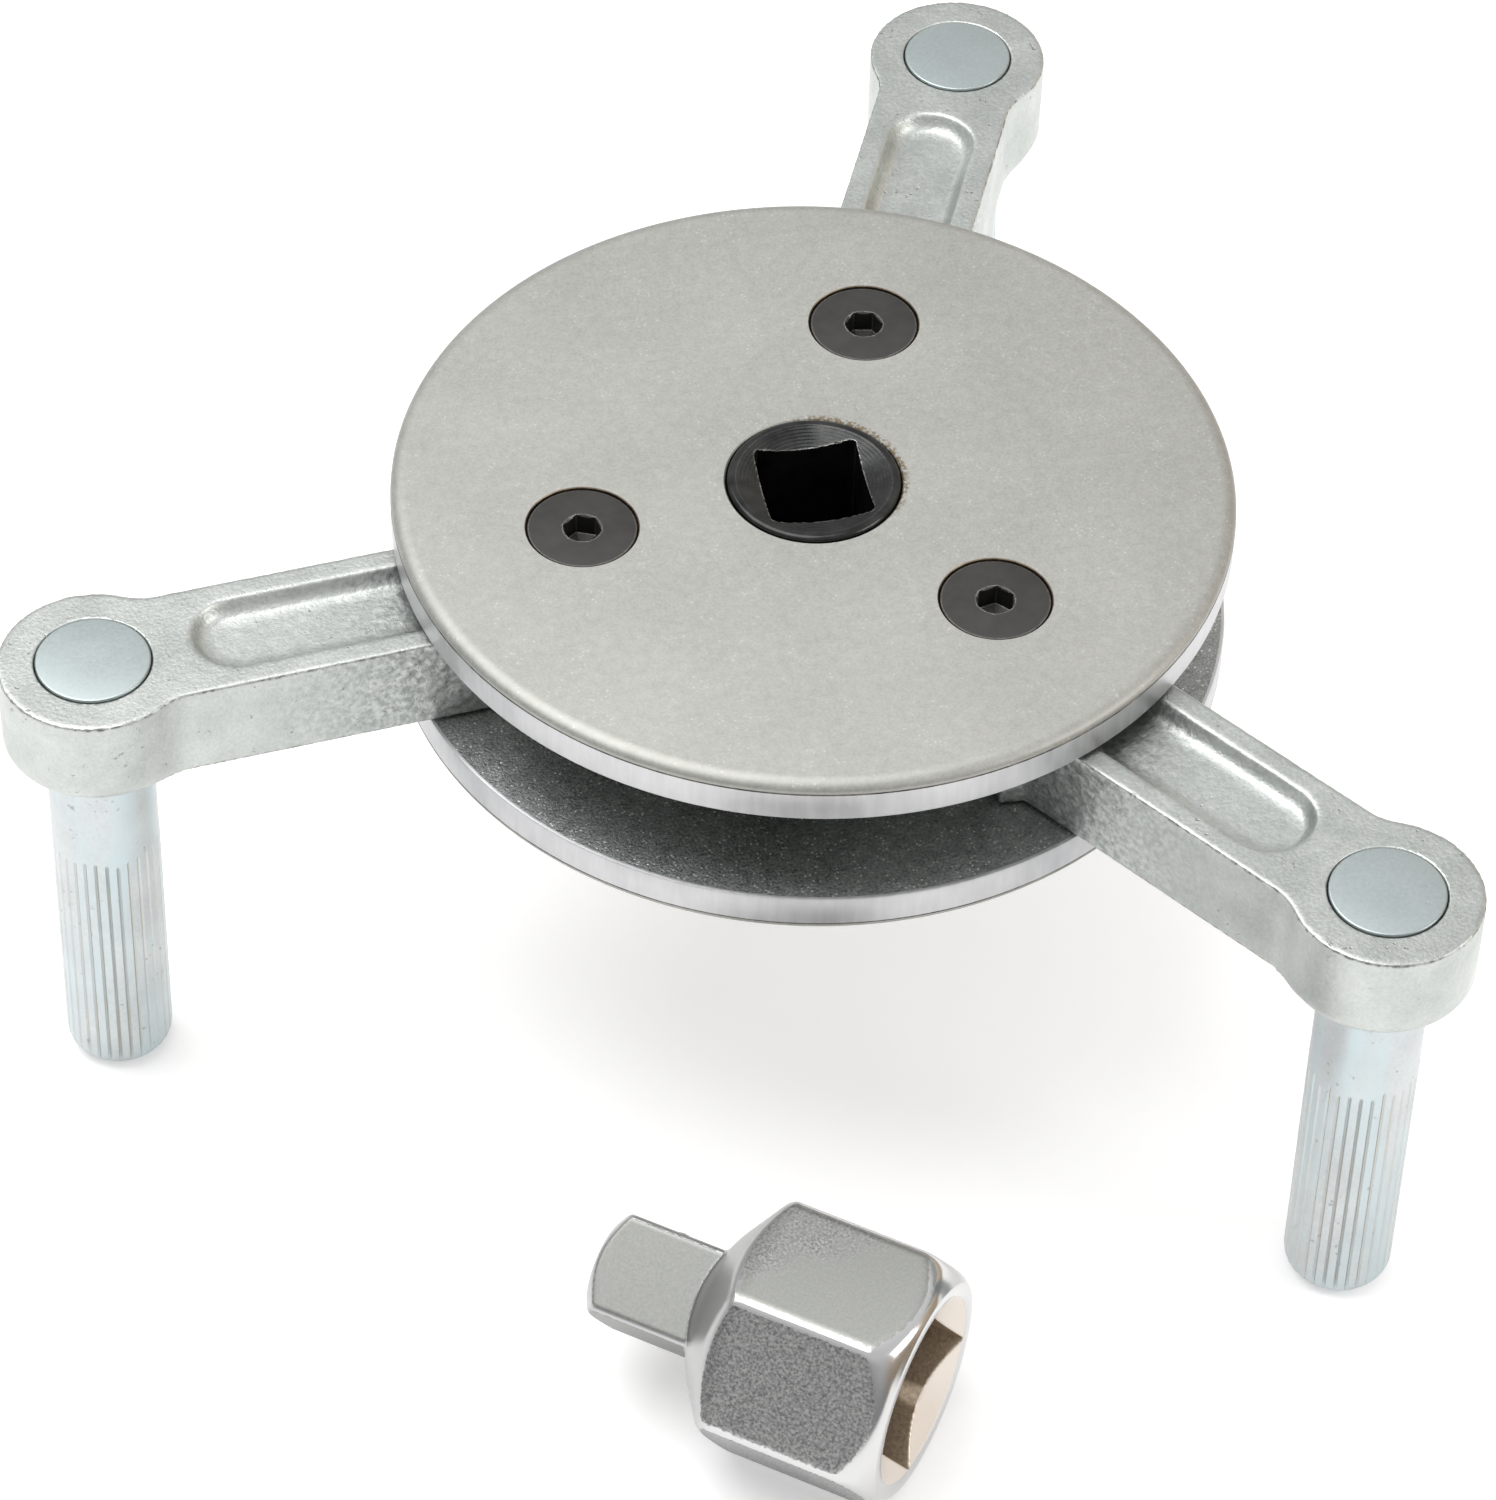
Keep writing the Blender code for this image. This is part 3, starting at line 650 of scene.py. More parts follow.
def refinish(node, material):
    """Keep a node's CAD mesh and give it a material."""
    kept = frame["nodes"][node].data.materials
    kept.clear()
    kept.append(material)


def in_metres(mesh):
    return moved(mesh, Matrix.Scale(MM, 4))


# ------------ gear teeth

def involute(angle):
    return math.tan(angle) - angle


def tooth_outline(teeth, centre_angle, flank_steps=7):
    """One tooth as (radius, angle) points, root to tip to root, with strictly rising angles."""
    pitch = GEAR_MODULE * teeth / 2
    base = pitch * math.cos(PRESSURE_ANGLE)
    root = pitch - GEAR_MODULE * DEDENDUM_RATIO
    tip = pitch + GEAR_MODULE
    half_at_base = math.pi / (2 * teeth) - TOOTH_THINNING / pitch + involute(PRESSURE_ANGLE)
    flank = [(root, half_at_base + 0.030), (root + 0.12, half_at_base + 0.012)]
    for step in range(flank_steps + 1):
        radius = base + (tip - base) * step / flank_steps
        turn = involute(math.acos(base / radius))
        flank.append((radius, half_at_base - turn - 0.0001 * step))
    rising = [(radius, centre_angle - half) for radius, half in flank]
    falling = [(radius, centre_angle + half) for radius, half in reversed(flank)]
    return rising + falling


# ------------ plates

def plate_blank(name, low, high, rolled_up, face, other_face):
    """A stamped disc: rolled edge, thin dark shear line and light sheared side."""
    thickness = high - low
    side_top = thickness - EDGE_ROLL_HEIGHT
    groove = PLATE_RADIUS - RIM_LINE_DEPTH
    profile = [(PLATE_RADIUS - inset, rise) for inset, rise in BROKEN_EDGE]
    profile += [(PLATE_RADIUS, side_top - RIM_LINE_HEIGHT),
                (groove, side_top - RIM_LINE_HEIGHT / 2), (PLATE_RADIUS - 0.02, side_top)]
    bands = [RIM_SLOT] * 3 + [LINE_SLOT] * 2 + [FACE_SLOT] * ROLL_STEPS
    for step in range(1, ROLL_STEPS + 1):
        turn = math.pi / 2 * step / ROLL_STEPS
        profile.append((PLATE_RADIUS - EDGE_ROLL_WIDTH * (1 - math.cos(turn)),
                        side_top + EDGE_ROLL_HEIGHT * math.sin(turn)))
    if not rolled_up:
        profile = [(radius, thickness - height) for radius, height in reversed(profile)]
        bands.reverse()
    profile = [(radius, low + height) for radius, height in profile]
    mesh = turned(name, profile, PLATE_SEGMENTS, bands)
    for polygon in mesh.polygons:
        if len(polygon.vertices) > 4:
            polygon.material_index = face if polygon.normal.z > 0 else other_face
    return mesh


def mark_seats(mesh):
    """Give the walls of the screws' seats their own material."""
    for polygon in mesh.polygons:
        for number in ARM_NUMBERS:
            away = polygon.center.xy - pivot(number).xy / MM
            if away.length < SCREW_HEAD_RADIUS + 0.5 and polygon.center.z < TOP_HIGH - 0.02:
                polygon.material_index = SEAT_SLOT


def chamfered_hole(radius, low, high):
    """Cutter for a round hole with a small chamfer at both faces."""
    margin = 1.0
    profile = [(radius + HOLE_CHAMFER + margin, low - margin), (radius, low + HOLE_CHAMFER),
               (radius, high - HOLE_CHAMFER), (radius + HOLE_CHAMFER + margin, high + margin)]
    return turned("hole", profile, HOLE_SEGMENTS)


def countersink():
    """The screw's seat in the top plate, with a broken edge at the mouth."""
    head = SCREW_HEAD_RADIUS + SCREW_SEAT_GAP
    neck = SCREW_SHANK_RADIUS + SCREW_HOLE_GAP
    cone_top = TOP_HIGH - 0.55
    profile = [(neck, TOP_LOW - 1), (neck, cone_top - (head - neck)), (head, cone_top),
               (head, TOP_HIGH - 0.08), (head + 1.08, TOP_HIGH + 1)]
    return turned("countersink", profile, HOLE_SEGMENTS)


def at_pivots(mesh_maker):
    return [moved(mesh_maker(), Matrix.Translation(pivot(number) / MM))
            for number in ARM_NUMBERS]


def make_plates():
    centre = BOSS_RADIUS + BOSS_GAP
    top = cut(plate_blank("top_plate_fine", TOP_LOW, TOP_HIGH, True, FACE_SLOT, INNER_SLOT),
              [chamfered_hole(centre, TOP_LOW, TOP_HIGH), *at_pivots(countersink)])
    blank = plate_blank("bottom_plate_fine", BOTTOM_LOW, BOTTOM_HIGH, False, INNER_SLOT,
                        FACE_SLOT)
    bottom = cut(blank, [chamfered_hole(centre, BOTTOM_LOW, BOTTOM_HIGH)] + at_pivots(
        lambda: chamfered_hole(POST_HOLE_RADIUS, BOTTOM_LOW, BOTTOM_HIGH)))
    mark_seats(top)
    materials = [FACE, RIM, LINE, INNER_TONE_AND_SHADE, SEAT]
    show("top_plate_fine", in_metres(top), materials, "frame", ["top_plate"])
    show("bottom_plate_fine", in_metres(bottom), materials, "frame", ["bottom_plate"])


# ------------ drive gear

def square_radius(half, corner_limit):
    """Radius of a square section with its corners cut to a radius, as a function of the angle."""
    def radius_of(angle):
        flat = half / max(abs(math.cos(angle)), abs(math.sin(angle)))
        return min(flat, corner_limit)
    return radius_of


def gear_outline():
    outline = []
    for tooth in range(DRIVE_TEETH):
        centre = arm_angle(1) + tooth * 2 * math.pi / DRIVE_TEETH
        outline += tooth_outline(DRIVE_TEETH, centre)
    return outline


def lead_in_rings(angles):
    """The cone at the mouth of the square hole, with fine turning rings, deepest ring first."""
    half = DRIVE_SQUARE / 2
    square = square_radius(half, half * math.sqrt(2) - DRIVE_CORNER_CUT)
    rings = []
    for step in range(LEAD_IN_STEPS + 1):
        share = step / LEAD_IN_STEPS
        cone = half - CONE_OVERLAP + (LEAD_IN_RADIUS - half + CONE_OVERLAP) * share
        ripple = TURNING_DEPTH * math.sin(2 * math.pi * cone / TURNING_PITCH) * (share < 1)
        height = BOSS_HIGH - (LEAD_IN_RADIUS - cone) * LEAD_IN_SLOPE + ripple
        rings.append([(*polar(max(square(angle), cone), angle), height) for angle in angles])
    return [ring(square, DRIVE_FLOOR, angles)] + rings


def make_drive_gear():
    """One closed skin: underside, lower journal, teeth, boss, rim, lead-in, square hole, floor."""
    outline = gear_outline()
    angles = [angle for _, angle in outline]
    teeth = dict(zip(angles, (radius for radius, _ in outline)))

    def toothed(inset, height):
        return ring(lambda angle: teeth[angle] - inset, height, angles)

    rim = filleted([(BOSS_RADIUS, ARM_HIGH, 0), (BOSS_RADIUS, BOSS_HIGH, BOSS_RIM_ROUND),
                    (LEAD_IN_RADIUS, BOSS_HIGH, 0)], 6)
    rings = [ring(BOSS_RADIUS - 0.5, 0, angles), ring(BOSS_RADIUS - 0.1, 0.1, angles),
             ring(BOSS_RADIUS, 0.45, angles), ring(BOSS_RADIUS, ARM_LOW, angles),
             toothed(TOOTH_BEVEL, ARM_LOW), toothed(0, ARM_LOW + TOOTH_BEVEL),
             toothed(0, ARM_HIGH - TOOTH_BEVEL), toothed(TOOTH_BEVEL, ARM_HIGH)]
    rings += [ring(radius, height, angles) for radius, height in rim[:-1]]
    rings += list(reversed(lead_in_rings(angles)))
    mesh = skin("drive_gear_fine", rings)
    show("drive_gear_fine", in_metres(mesh), [BLACK], "drive", ["drive_gear"])


# ------------ arms

def arm_side():
    """Half of the arm's outline, from the hub's shoulder along the beam to the eye's far end."""
    hub_tip = GEAR_MODULE * (HUB_TEETH / 2 + 1)
    hub_root = GEAR_MODULE * (HUB_TEETH / 2 - DEDENDUM_RATIO)
    side_angle = math.asin(ARM_HALF_WIDTH / hub_tip)
    fillet_x = ARM_LENGTH - math.sqrt((ARM_EYE_RADIUS + ARM_NECK_FILLET) ** 2
                                      - (ARM_HALF_WIDTH + ARM_NECK_FILLET) ** 2)
    centre = (fillet_x, -ARM_HALF_WIDTH - ARM_NECK_FILLET)
    meeting = math.atan2(-centre[1], ARM_LENGTH - fillet_x)
    side = [polar(hub_root, -HUB_SHOULDER_ANGLE - math.radians(2))]
    side += arc((0, 0), hub_tip, -HUB_SHOULDER_ANGLE, -side_angle, 4)
    side += arc(centre, ARM_NECK_FILLET, math.pi / 2, meeting, 10)
    side += arc((ARM_LENGTH, 0), ARM_EYE_RADIUS, meeting - math.pi, 0, 36)[1:]
    return side


def arm_outline():
    """Counterclockwise outline: one side, the eye, the other side, then the hub's teeth."""
    side = arm_side()
    outline = side + [(x, -y) for x, y in reversed(side[:-1])]
    for tooth in range(HUB_TEETH_CUT):
        from_middle = tooth - (HUB_TEETH_CUT - 1) / 2
        centre = math.pi + from_middle * 2 * math.pi / HUB_TEETH
        outline += [polar(radius, angle) for radius, angle in tooth_outline(HUB_TEETH, centre)]
    return outline


def prism(name, outline, low, high):
    return skin(name, [[(x, y, height) for x, y in outline] for height in (low, high)])


def pocket_outline(half_width):
    inner = arc((POCKET_INNER, 0), half_width, math.pi / 2, 3 * math.pi / 2, 24)
    return inner + arc((POCKET_OUTER, 0), half_width, -math.pi / 2, math.pi / 2, 24)


def pocket(upward):
    """Cutter for a forged pocket with sloping walls and a floor that curves up to them.

    Each level is how far it widens the outline and how high it is above the floor.
    """
    levels = [(-1.3, 0.0), (-0.45, 0.12), (0.0, 0.45), (POCKET_DRAFT, POCKET_DEPTH),
              (POCKET_DRAFT + 0.5, POCKET_DEPTH + 0.8)]
    rings = []
    for widening, rise in levels:
        outline = pocket_outline(POCKET_HALF_WIDTH - POCKET_DRAFT / 2 + widening)
        height = ARM_THICKNESS - POCKET_DEPTH + rise if upward else POCKET_DEPTH - rise
        rings.append([(x, y, height) for x, y in outline])
    return skin("pocket", rings if upward else rings[::-1])


def remeshed(mesh, voxel, smoothing):
    """Even the mesh out to small quads, and round its edges by smoothing."""
    body = placed("blank", mesh)
    remesh = body.modifiers.new("even", "REMESH")
    remesh.mode = "VOXEL"
    remesh.voxel_size = voxel
    smooth = body.modifiers.new("round", "SMOOTH")
    smooth.factor = 0.5
    smooth.iterations = smoothing
    return evaluated(body)


def in_pocket(x, y):
    """How far inside the pocket's mouth a place is, in millimetres; negative is outside."""
    nearest = min(max(x, POCKET_INNER), POCKET_OUTER)
    return POCKET_HALF_WIDTH + POCKET_DRAFT / 2 - math.hypot(x - nearest, y)


def under_eye(place):
    """Where a point goes when the eye's lower edge is rounded."""
    weight = clamped((place.x - ARM_LENGTH + 6) / 4)
    out = Vector((place.x - ARM_LENGTH, place.y))
    inner = ARM_EYE_RADIUS - EYE_UNDER_ROUND
    corner = Vector((out.length - inner, place.z - EYE_UNDER_ROUND))
    if weight == 0 or min(corner.x, -corner.y) <= 0 or corner.length <= EYE_UNDER_ROUND:
        return place.copy()
    corner *= EYE_UNDER_ROUND / corner.length
    level = out.normalized() * (inner + corner.x)
    return place.lerp(Vector((ARM_LENGTH + level.x, level.y, EYE_UNDER_ROUND + corner.y)), weight)


def forge(mesh):
    """Press in the unevenness of forging: rough sides near the hub, small nicks on the edges."""
    mesh.update()
    forged, edges = point_values(mesh, "forged", "edge")
    shifts = []
    for index, vertex in enumerate(mesh.vertices):
        place, normal = vertex.co, vertex.normal
        side = 1 - abs(normal.z)
        edge = 4 * side * (1 - side)
        hubward = clamped((FORGED_END - place.x) / FORGED_FADE)
        if in_pocket(place.x, place.y) > 0:
            inward = clamped((POCKET_INNER + 9 - place.x) / 6)
            depth = 0.02 * noise.noise(place * 0.9)
            depth += 0.02 * (0.3 + inward) * noise.noise(place * 1.9)
            rough = 0.7 * inward
        else:
            depth = (0.006 + 0.06 * side * hubward) * noise.noise(place * 1.3)
            depth += 0.015 * side * noise.noise(place * 2.4)
            depth -= 0.07 * edge * max(0.0, noise.noise(place * 1.7))
            edges[index].value = edge
            rough = side * hubward
        # The forged value also places painted shade of the plates in the arm's colour
        forged[index].value = rough
        shifts.append(normal * depth)
    for vertex, shift in zip(mesh.vertices, shifts):
        vertex.co = under_eye(vertex.co + shift)
    return mesh


def make_arm_mesh():
    """The forged arm, in millimetres, from its pivot axis and lower face."""
    blank = cut(prism("arm_fine", arm_outline(), 0, ARM_THICKNESS), [pocket(True), pocket(False)])
    body = forge(remeshed(blank, ARM_REMESH, ARM_SMOOTHING))
    seat = PIN_HEAD_RADIUS + PIN_SEAT_GAP
    seat_low = ARM_THICKNESS - PIN_SEAT_DEPTH
    bore = turned("bore", [(PIN_SHANK_RADIUS + 0.3, -1), (PIN_SHANK_RADIUS + 0.3, seat_low),
                           (seat, seat_low), (seat, ARM_THICKNESS - 0.12),
                           (seat + 1.1, ARM_THICKNESS + 0.98)], HOLE_SEGMENTS)
    eye = moved(bore, Matrix.Translation((ARM_LENGTH, 0, 0)))
    hub = chamfered_hole(HUB_BORE_RADIUS, 0, ARM_THICKNESS)
    return cut(body, [eye, hub])


def knurl(angle):
    """Ridge height around the pin, from 0 at the bottom of a groove to 1 on a ridge."""
    wave = 0.5 + 0.5 * math.cos(angle * KNURL_RIDGES)
    return min(1.0, wave * 4.0)


def mark_grooves(mesh, low, high):
    """Give each point a groove value: 1 at the bottom of the knurl's grooves, 0 elsewhere."""
    groove, = point_values(mesh, "groove")
    for index, vertex in enumerate(mesh.vertices):
        place = vertex.co
        sunk = PIN_RADIUS - math.hypot(place.x, place.y)
        groove[index].value = clamped(sunk / KNURL_DEPTH) * (low < place.z < high)


def make_pin_mesh():
    """The riveted pin, in millimetres, from the arm's lower face: knurl below, head above."""
    tip, top = PIN_LOW - ARM_LOW, PIN_HIGH - ARM_LOW
    knurl_low, knurl_top = tip + PIN_TIP_ROUND, -PIN_COLLAR_LENGTH
    angles = even_angles(KNURL_RIDGES * POINTS_PER_RIDGE)
    rings, bands = [[(0, 0, tip)]], []

    def add(radius, height, share, band=0):
        rings.append(ring(lambda angle: radius - KNURL_DEPTH * share * (1 - knurl(angle)),
                          height, angles))
        bands.append(band)

    def start_knurl(share):
        """One level of the grooves' ragged upper ends; share is 1 at the collar."""
        def radius_of(angle):
            groove = round(angle * KNURL_RIDGES / (2 * math.pi) + 0.5)
            late = 0.5 + 0.9 * noise.noise(Vector((groove * 3.7, 0.3, 0.0)))
            left = clamped((1.0 - share - late * 0.7) * 4)
            return PIN_RADIUS - KNURL_DEPTH * left * (1 - knurl(angle))
        rings.append(ring(radius_of, knurl_top - GROOVE_END_LENGTH * (1 - share), angles))
        bands.append(0)

    add(PIN_RADIUS - PIN_TIP_ROUND - 0.4, tip, 0)
    for step in range(1, TIP_STEPS + 1):
        turn = math.pi / 2 * step / TIP_STEPS
        add(PIN_RADIUS - PIN_TIP_ROUND * (1 - math.sin(turn)),
            tip + PIN_TIP_ROUND * (1 - math.cos(turn)), max(0.0, 2 * step / TIP_STEPS - 1))
    for step in range(1, KNURL_LENGTHS):
        height = knurl_low + (knurl_top - GROOVE_END_LENGTH - knurl_low) * step / KNURL_LENGTHS
        wobble = 0.02 * noise.noise(Vector((0, 0, height * 0.6)))
        add(PIN_RADIUS + wobble, height, 1)
    for step in range(11):
        start_knurl(step / 10)
    for step in range(1, 9):
        add(PIN_RADIUS - COLLAR_INSET, knurl_top * (1 - step / 9), 0)
    head_low = top - PIN_HEAD_DEPTH
    for radius, height in ((PIN_RADIUS - COLLAR_INSET, -0.45), (PIN_RADIUS - 0.2, -0.25),
                           (PIN_SHANK_RADIUS, -0.25), (PIN_SHANK_RADIUS, head_low),
                           (PIN_HEAD_RADIUS, head_low)):
        add(radius, height, 0)
    for radius, height in filleted([(PIN_HEAD_RADIUS, top - 1.0, 0), (PIN_HEAD_RADIUS, top, 0.2),
                                    (1.0, top, 0)], 4):
        add(radius, height, 0, 1)
    rings.append([(0, 0, top)])
    bands.append(1)
    mesh = skin("grip_pin_fine", rings, bands)
    mark_grooves(mesh, knurl_low, knurl_top)
    return mesh


def make_arms():
    arm_mesh = in_metres(make_arm_mesh())
    pin_mesh = in_metres(make_pin_mesh())
    lift = Matrix.Translation((0, 0, ARM_LOW * MM))
    for number in ARM_NUMBERS:
        body = f"swing_arm_{number}"
        turn = Matrix.Rotation(arm_angle(number), 4, "Z")
        place = Matrix.Translation(pivot(number)) @ lift @ turn
        show(f"arm_{number}_forged", moved(arm_mesh.copy(), place), [ARM], body,
             [f"arm_{number}"], sharp=50)
        pin_place = place @ Matrix.Translation((ARM_LENGTH * MM, 0, 0))
        show(f"grip_pin_{number}_fine", moved(pin_mesh.copy(), pin_place), [PIN, HEAD], body,
             [f"grip_pin_{number}"])


# ------------ screws and posts

def hex_radius(across_flats):
    """Radius of a hexagon section, as a function of the angle."""
    def radius_of(angle):
        sixth = math.pi / 3
        from_flat = (angle + sixth / 2) % sixth - sixth / 2
        return across_flats / 2 / math.cos(from_flat)
    return radius_of


def make_screw_mesh():
    """Countersunk socket screw: turned head with a softened rim, chamfered hexagon socket."""
    angles = even_angles(180)
    hexagon = hex_radius(SCREW_HEX)
    rim_low = SCREW_HIGH - SCREW_RIM
    cone_low = rim_low - (SCREW_HEAD_RADIUS - SCREW_SHANK_RADIUS)
    outside = filleted([(SCREW_SHANK_RADIUS - 0.5, SCREW_LOW, 0),
                        (SCREW_SHANK_RADIUS, SCREW_LOW + 0.5, 0),
                        (SCREW_SHANK_RADIUS, cone_low, 0), (SCREW_HEAD_RADIUS, rim_low, 0),
                        (SCREW_HEAD_RADIUS, SCREW_HIGH, 0.16),
                        (SCREW_MOUTH_RADIUS, SCREW_HIGH, 0)], 4)
    rings = [ring(radius, height, angles) for radius, height in outside[:-1]]
    for step in range(9):
        depth = 0.07 * step
        rings.append([(*polar(max(hexagon(angle), SCREW_MOUTH_RADIUS - depth), angle),
                       SCREW_HIGH - depth) for angle in angles])
    rings.append(ring(hexagon, SCREW_HIGH - SCREW_HEX_DEPTH, angles))
    rings.append([(0, 0, SCREW_HIGH - SCREW_HEX_DEPTH - 0.6)])
    return skin("plate_screw_fine", rings)


def make_screws():
    mesh = in_metres(make_screw_mesh())
    for number, turn in zip(ARM_NUMBERS, SCREW_TURNS):
        place = Matrix.Translation(pivot(number)) @ Matrix.Rotation(turn, 4, "Z")
        show(f"plate_screw_{number}_fine", mesh, [SCREW], "frame", [f"plate_screw_{number}"],
             place)
        refinish(f"pivot_post_{number}", POST)


# ------------ adapter

def soft_min(first, second, softness):
    """The smaller of two lengths, with the crossing rounded over the softness."""
    share = max(softness - abs(first - second), 0.0) / softness
    return min(first, second) - share * share * softness / 4


def soft_max(first, second, softness):
    return -soft_min(-first, -second, softness)


def flat_radius(half, sides, turn, softness):
    """Radius of a regular polygon section with rounded corners, as a function of the angle."""
    def radius_of(angle):
        limits = sorted(half / max(math.cos(angle - turn - 2 * math.pi * side / sides), 0.2)
                        for side in range(sides))
        return soft_min(limits[0], limits[1], softness)
    return radius_of


def plug_limit(height):
    """Turned envelope of the plug: a steep chamfer at its tip."""
    return PLUG_TIP_RADIUS + PLUG_TIP_SLOPE * height


def body_limit(height):
    """Turned envelope of the hexagon: a cone at the neck and a chamfer at the socket end."""
    (foot, low), (shoulder, bend), (corner, top) = NECK
    steep = foot + (height - low) * (shoulder - foot) / (bend - low)
    cone = shoulder + (height - bend) * (corner - shoulder) / (top - bend)
    neck = soft_min(steep, cone, 1.2)
    (corner, low), (shoulder, bend), (rim, top) = END
    gentle = corner - (height - low) * (corner - shoulder) / (bend - low)
    chamfer = rim + (top - height) * (shoulder - rim) / (top - bend)
    return min(neck, soft_min(gentle, chamfer, 0.5))


def adapter_heights():
    """Stations along the axis, closer together where the section changes."""
    dense = [0.25 * step for step in range(1, 8)]
    dense += [2.0 + 0.5 * step for step in range(13)]
    dense += [8.5 + 0.14 * step for step in range(52)]
    dense += [15.9 + 0.5 * step for step in range(22)]
    dense += [26.9 + 0.16 * step for step in range(29)]
    return [height for height in dense if height < ADAPTER_LENGTH - 0.3]


def make_adapter_mesh():
    """Plug, neck, hexagon and socket as one skin; returns the mesh, in millimetres."""
    angles = even_angles(ADAPTER_POINTS)
    plug = flat_radius(MALE_SQUARE / 2, 4, SQUARE_TURN, 1.1)
    hexagon = flat_radius(ADAPTER_HEX / 2, 6, math.pi / 2, 1.0)
    socket = flat_radius(FEMALE_SQUARE / 2, 4, SQUARE_TURN, 0.35)
    rings = [[(0, 0, 0)], ring(2.0, 0, angles), ring(PLUG_TIP_RADIUS - 0.1, 0, angles)]
    for height in adapter_heights():
        points = []
        for angle in angles:
            slim = soft_min(plug(angle), plug_limit(height), 0.3)
            stout = soft_min(hexagon(angle), body_limit(height), 0.9)
            radius = soft_max(slim, stout, 0.5) if height > MALE_LENGTH - 2 else slim
            points.append((*polar(radius, angle), height))
        rings.append(points)
    end = ADAPTER_LENGTH
    for radius, height in filleted([(ADAPTER_END_RADIUS + 0.3, end - 0.3, 0),
                                    (ADAPTER_END_RADIUS, end, 0.18),
                                    (LEAD_IN_MOUTH_RADIUS, end, 0)], 4)[1:]:
        rings.append(ring(radius, height, angles))
    outside = len(rings)
    cone_foot = FEMALE_SQUARE / 2 - CONE_OVERLAP
    for step in range(1, 15):
        cone = LEAD_IN_MOUTH_RADIUS + (cone_foot - LEAD_IN_MOUTH_RADIUS) * step / 14
        rings.append(ring(lambda angle: max(socket(angle), cone), end - LEAD_IN_DEPTH * step / 14,
                          angles))
    rings.append(ring(socket, end - FEMALE_DEPTH, angles))
    rings.append([(0, 0, end - FEMALE_DEPTH - 0.8)])
    return skin("adapter_body_fine", rings, [0] * outside + [1] * (len(rings) - outside))


def on_socket_wall(place):
    """True on the socket's flat walls, below the cone at its mouth."""
    cone = LEAD_IN_MOUTH_RADIUS - (ADAPTER_LENGTH - place.z) * (
        LEAD_IN_MOUTH_RADIUS - FEMALE_SQUARE / 2 + CONE_OVERLAP) / LEAD_IN_DEPTH
    return cone + 0.02 < math.hypot(place.x, place.y) < 9.2


def mark_adapter(mesh):
    """Mark each point: blasted on flats, worn where rubbed smooth, wall on the socket's walls."""
    blasted, worn, wall = point_values(mesh, "blasted", "worn", "wall")
    plug_end = MALE_LENGTH + 2
    sections = ((6, ADAPTER_HEX / 2, math.pi / 2), (4, MALE_SQUARE / 2, SQUARE_TURN))
    flats = []
    for count, half, turn in sections:
        flats += [(Vector((*polar(1, turn + 2 * math.pi * side / count), 0)), half, count)
                  for side in range(count)]
    for index, vertex in enumerate(mesh.vertices):
        place, normal = vertex.co, vertex.normal
        best = 0.0
        for direction, half, count in flats:
            in_reach = place.z < plug_end if count == 4 else place.z > plug_end
            outside = in_reach and place.z < ADAPTER_LENGTH - 0.2
            if outside and normal.dot(direction) > 0.9:
                best = max(best, 1 - abs(place.dot(direction) - half) / FLAT_REACH)
        blasted[index].value = best
        on_top = (normal.y > 0.9) * min(1.0, 0.3 + max(0.0, place.z - 16 - place.x) / 8)
        worn[index].value = max(on_top, float(place.z < MALE_LENGTH + 1))
        wall[index].value = float(on_socket_wall(place))


def adapter_place():
    """The adapter's frame: Z along its axis from the plug's tip, Y up."""
    axis = Vector(MOUNTS["adapter_socket_end"]["axis"]).normalized()
    flat = MOUNTS["adapter_plug_flat"]
    outward = Vector(flat["axis"]).normalized()
    tip = Vector(flat["pos_m"]) - outward * MALE_SQUARE / 2 * MM
    tip -= axis * PLUG_FLAT_MOUNT_HEIGHT * MM
    up = Vector((0, 0, 1))
    away = up.cross(axis)
    turn = Matrix((away, up, axis)).transposed()
    return Matrix.Translation(tip) @ turn.to_4x4()


def make_adapter():
    mesh = make_adapter_mesh()
    mesh.update()
    mark_adapter(mesh)
    show("adapter_body_fine", in_metres(mesh), [NICKEL, SOCKET], "adapter", ["adapter_body"],
         adapter_place(), 40)
    for node in ("adapter_detent_ball", "adapter_detent_spring"):
        refinish(node, SPRING)


# ------------ stage, light and camera

def make_floor():
    floor_material = Finish("pale_floor")
    tone = floor_material.grain(60.0, 2.0)
    colour = floor_material.blend(tone, (0.84, 0.84, 0.84), (0.86, 0.86, 0.86))
    floor_material.finish(colour, 0.7, 0.0)
    for socket, value in (("Emission Color", (1, 1, 1, 1)), ("Emission Strength", FLOOR_GLOW)):
        floor_material.feed(floor_material.shader.inputs[socket], value)
    mesh = bpy.data.meshes.new("floor")
    level = CAD_BOUNDS[0][2] - FLOOR_GAP
    corners = ((-1, -1), (1, -1), (1, 1), (-1, 1))
    mesh.from_pydata([(x * FLOOR_HALF, y * FLOOR_HALF, level) for x, y in corners], [],
                     [(0, 1, 2, 3)])
    mesh.materials.append(floor_material.material)
    placed("floor", mesh)


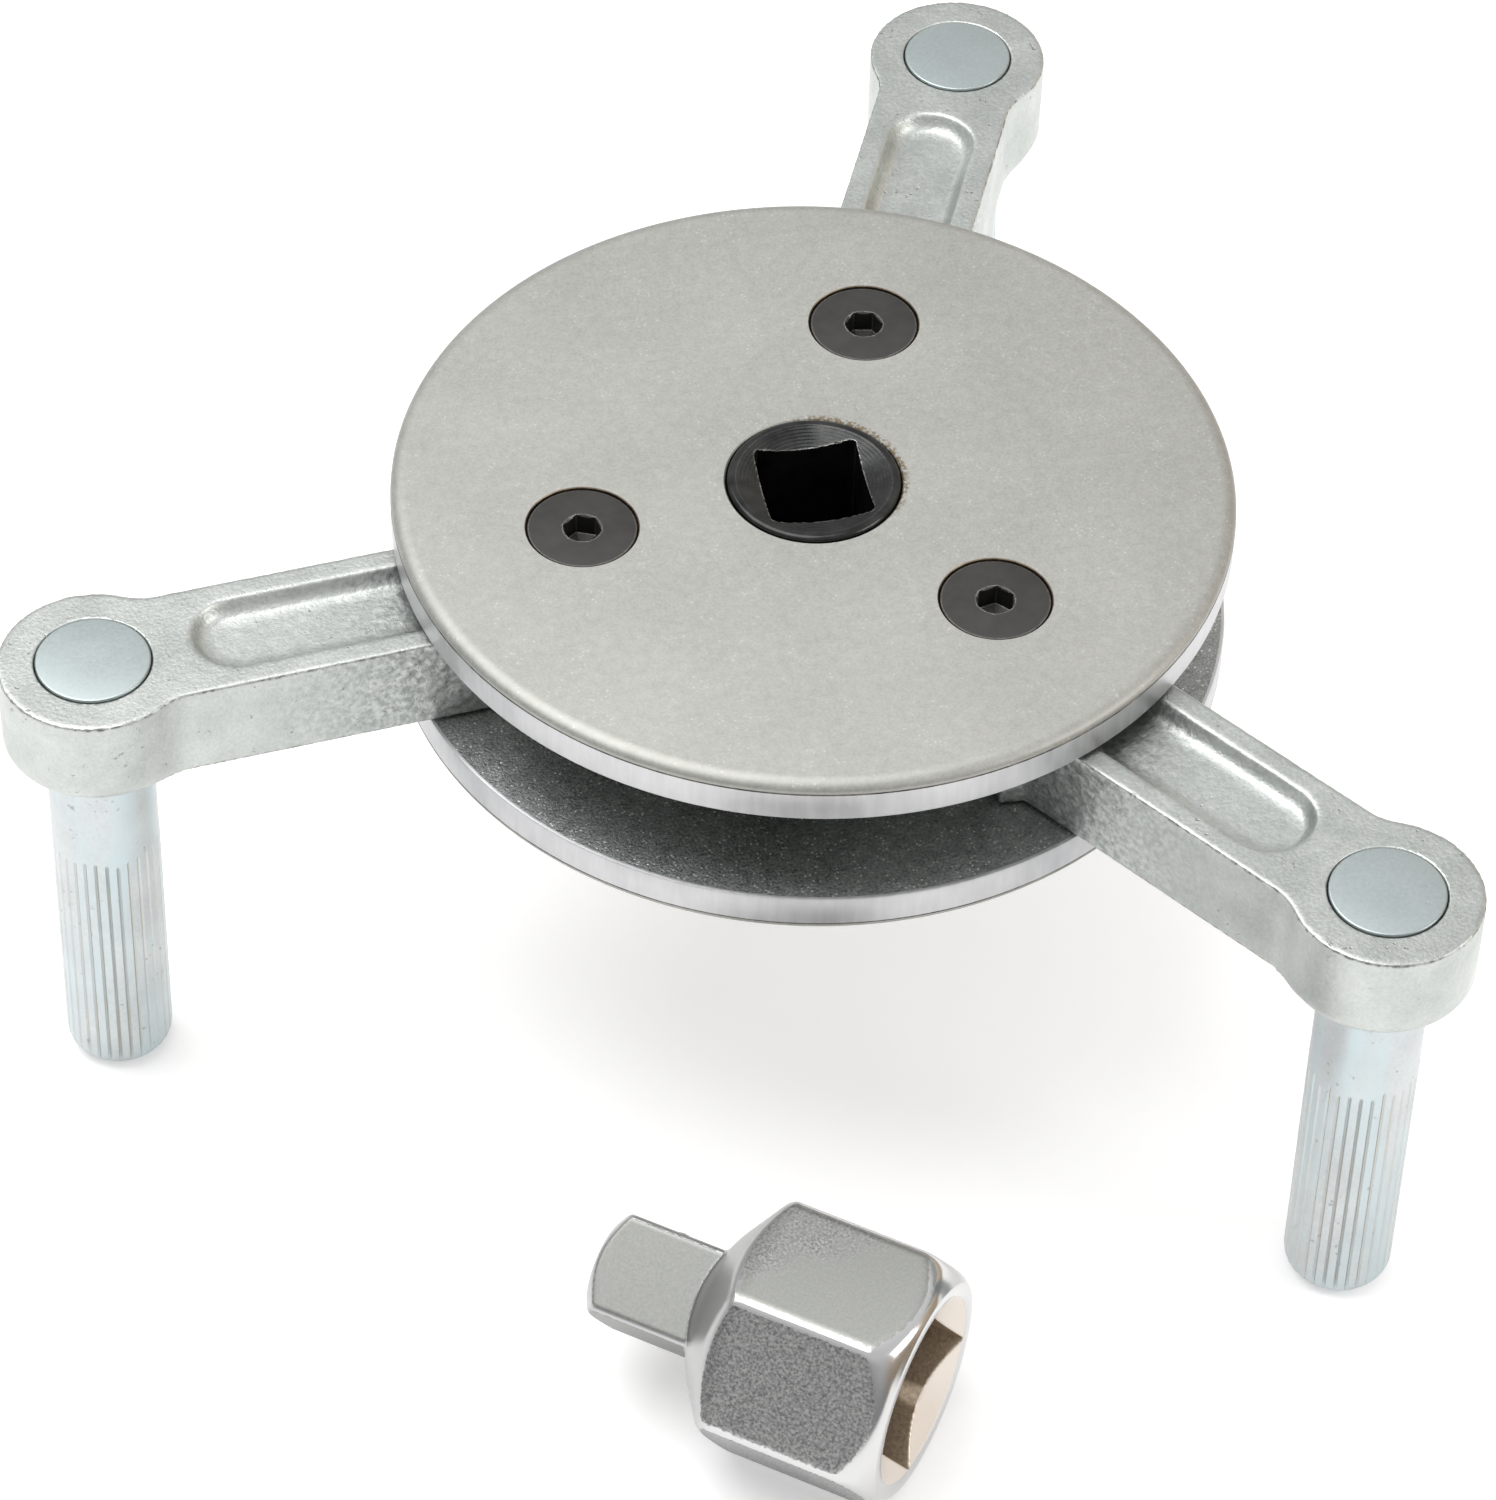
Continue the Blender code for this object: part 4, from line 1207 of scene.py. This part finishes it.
def make_world():
    """A studio: bright above and behind, dim low on the camera's side, warm low on the right."""
    world = bpy.data.worlds.new("studio")
    world.use_nodes = True
    bpy.context.scene.world = world
    tree = world.node_tree
    background = tree.nodes["Background"]
    coordinates = tree.nodes.new("ShaderNodeTexCoord")
    split = tree.nodes.new("ShaderNodeSeparateXYZ")
    tree.links.new(coordinates.outputs["Generated"], split.inputs[0])

    def ramp(axis, low, high, start, end):
        node = tree.nodes.new("ShaderNodeMapRange")
        limits = {"From Min": low, "From Max": high, "To Min": start, "To Max": end}
        for key, value in limits.items():
            node.inputs[key].default_value = value
        tree.links.new(split.outputs[axis], node.inputs["Value"])
        return node.outputs[0]

    def join(operation, first, second):
        node = tree.nodes.new("ShaderNodeMath")
        node.operation = operation
        tree.links.new(first, node.inputs[0])
        tree.links.new(second, node.inputs[1])
        return node.outputs[0]

    glow = join("ADD", ramp("Z", -0.1, 0.75, 0.14, 0.80), ramp("Y", -0.3, 0.8, 0.0, 0.28))
    tree.links.new(glow, background.inputs["Strength"])
    warm = join("MULTIPLY", ramp("X", 0.25, 0.9, 0.0, 1.0), ramp("Z", 0.1, 0.7, 1.0, 0.0))
    tint = tree.nodes.new("ShaderNodeMix")
    tint.data_type = "RGBA"
    tree.links.new(warm, tint.inputs[0])
    tint.inputs[6].default_value = (1, 1, 1, 1)
    tint.inputs[7].default_value = WARM
    tree.links.new(tint.outputs[2], background.inputs["Color"])


def add_light(name, place, target, width, height, power):
    light = bpy.data.lights.new(name, "AREA")
    light.shape = "RECTANGLE"
    light.size = width
    light.size_y = height
    light.energy = power
    lamp = placed(name, light)
    lamp.location = place
    aim = Vector(target) - Vector(place)
    lamp.rotation_euler = aim.to_track_quat("-Z", "Y").to_euler()


def make_camera():
    camera = bpy.data.cameras.new("camera")
    camera.lens = CAMERA_LENS
    camera.sensor_width = 36
    camera.clip_start = 0.01
    holder = placed("camera", camera)
    turn = (Matrix.Rotation(-CAMERA_AZIMUTH, 4, "Z")
            @ Matrix.Rotation(math.pi / 2 - CAMERA_ELEVATION, 4, "X")
            @ Matrix.Rotation(CAMERA_ROLL, 4, "Z"))
    back = turn @ Vector((0, 0, CAMERA_DISTANCE))
    holder.matrix_world = Matrix.Translation(Vector(CAMERA_TARGET) + back) @ turn
    bpy.context.scene.camera = holder


make_plates()
make_drive_gear()
make_arms()
make_screws()
make_adapter()
make_floor()
make_world()
add_light("overhead", (-0.25, 0.15, 0.75), (0, 0, 0), 0.7, 0.7, 5.0)
add_light("side", (0.7, -0.35, 0.45), (0, 0, 0), 0.4, 0.4, 2.0)
make_camera()
bpy.context.scene.view_settings.view_transform = "Standard"
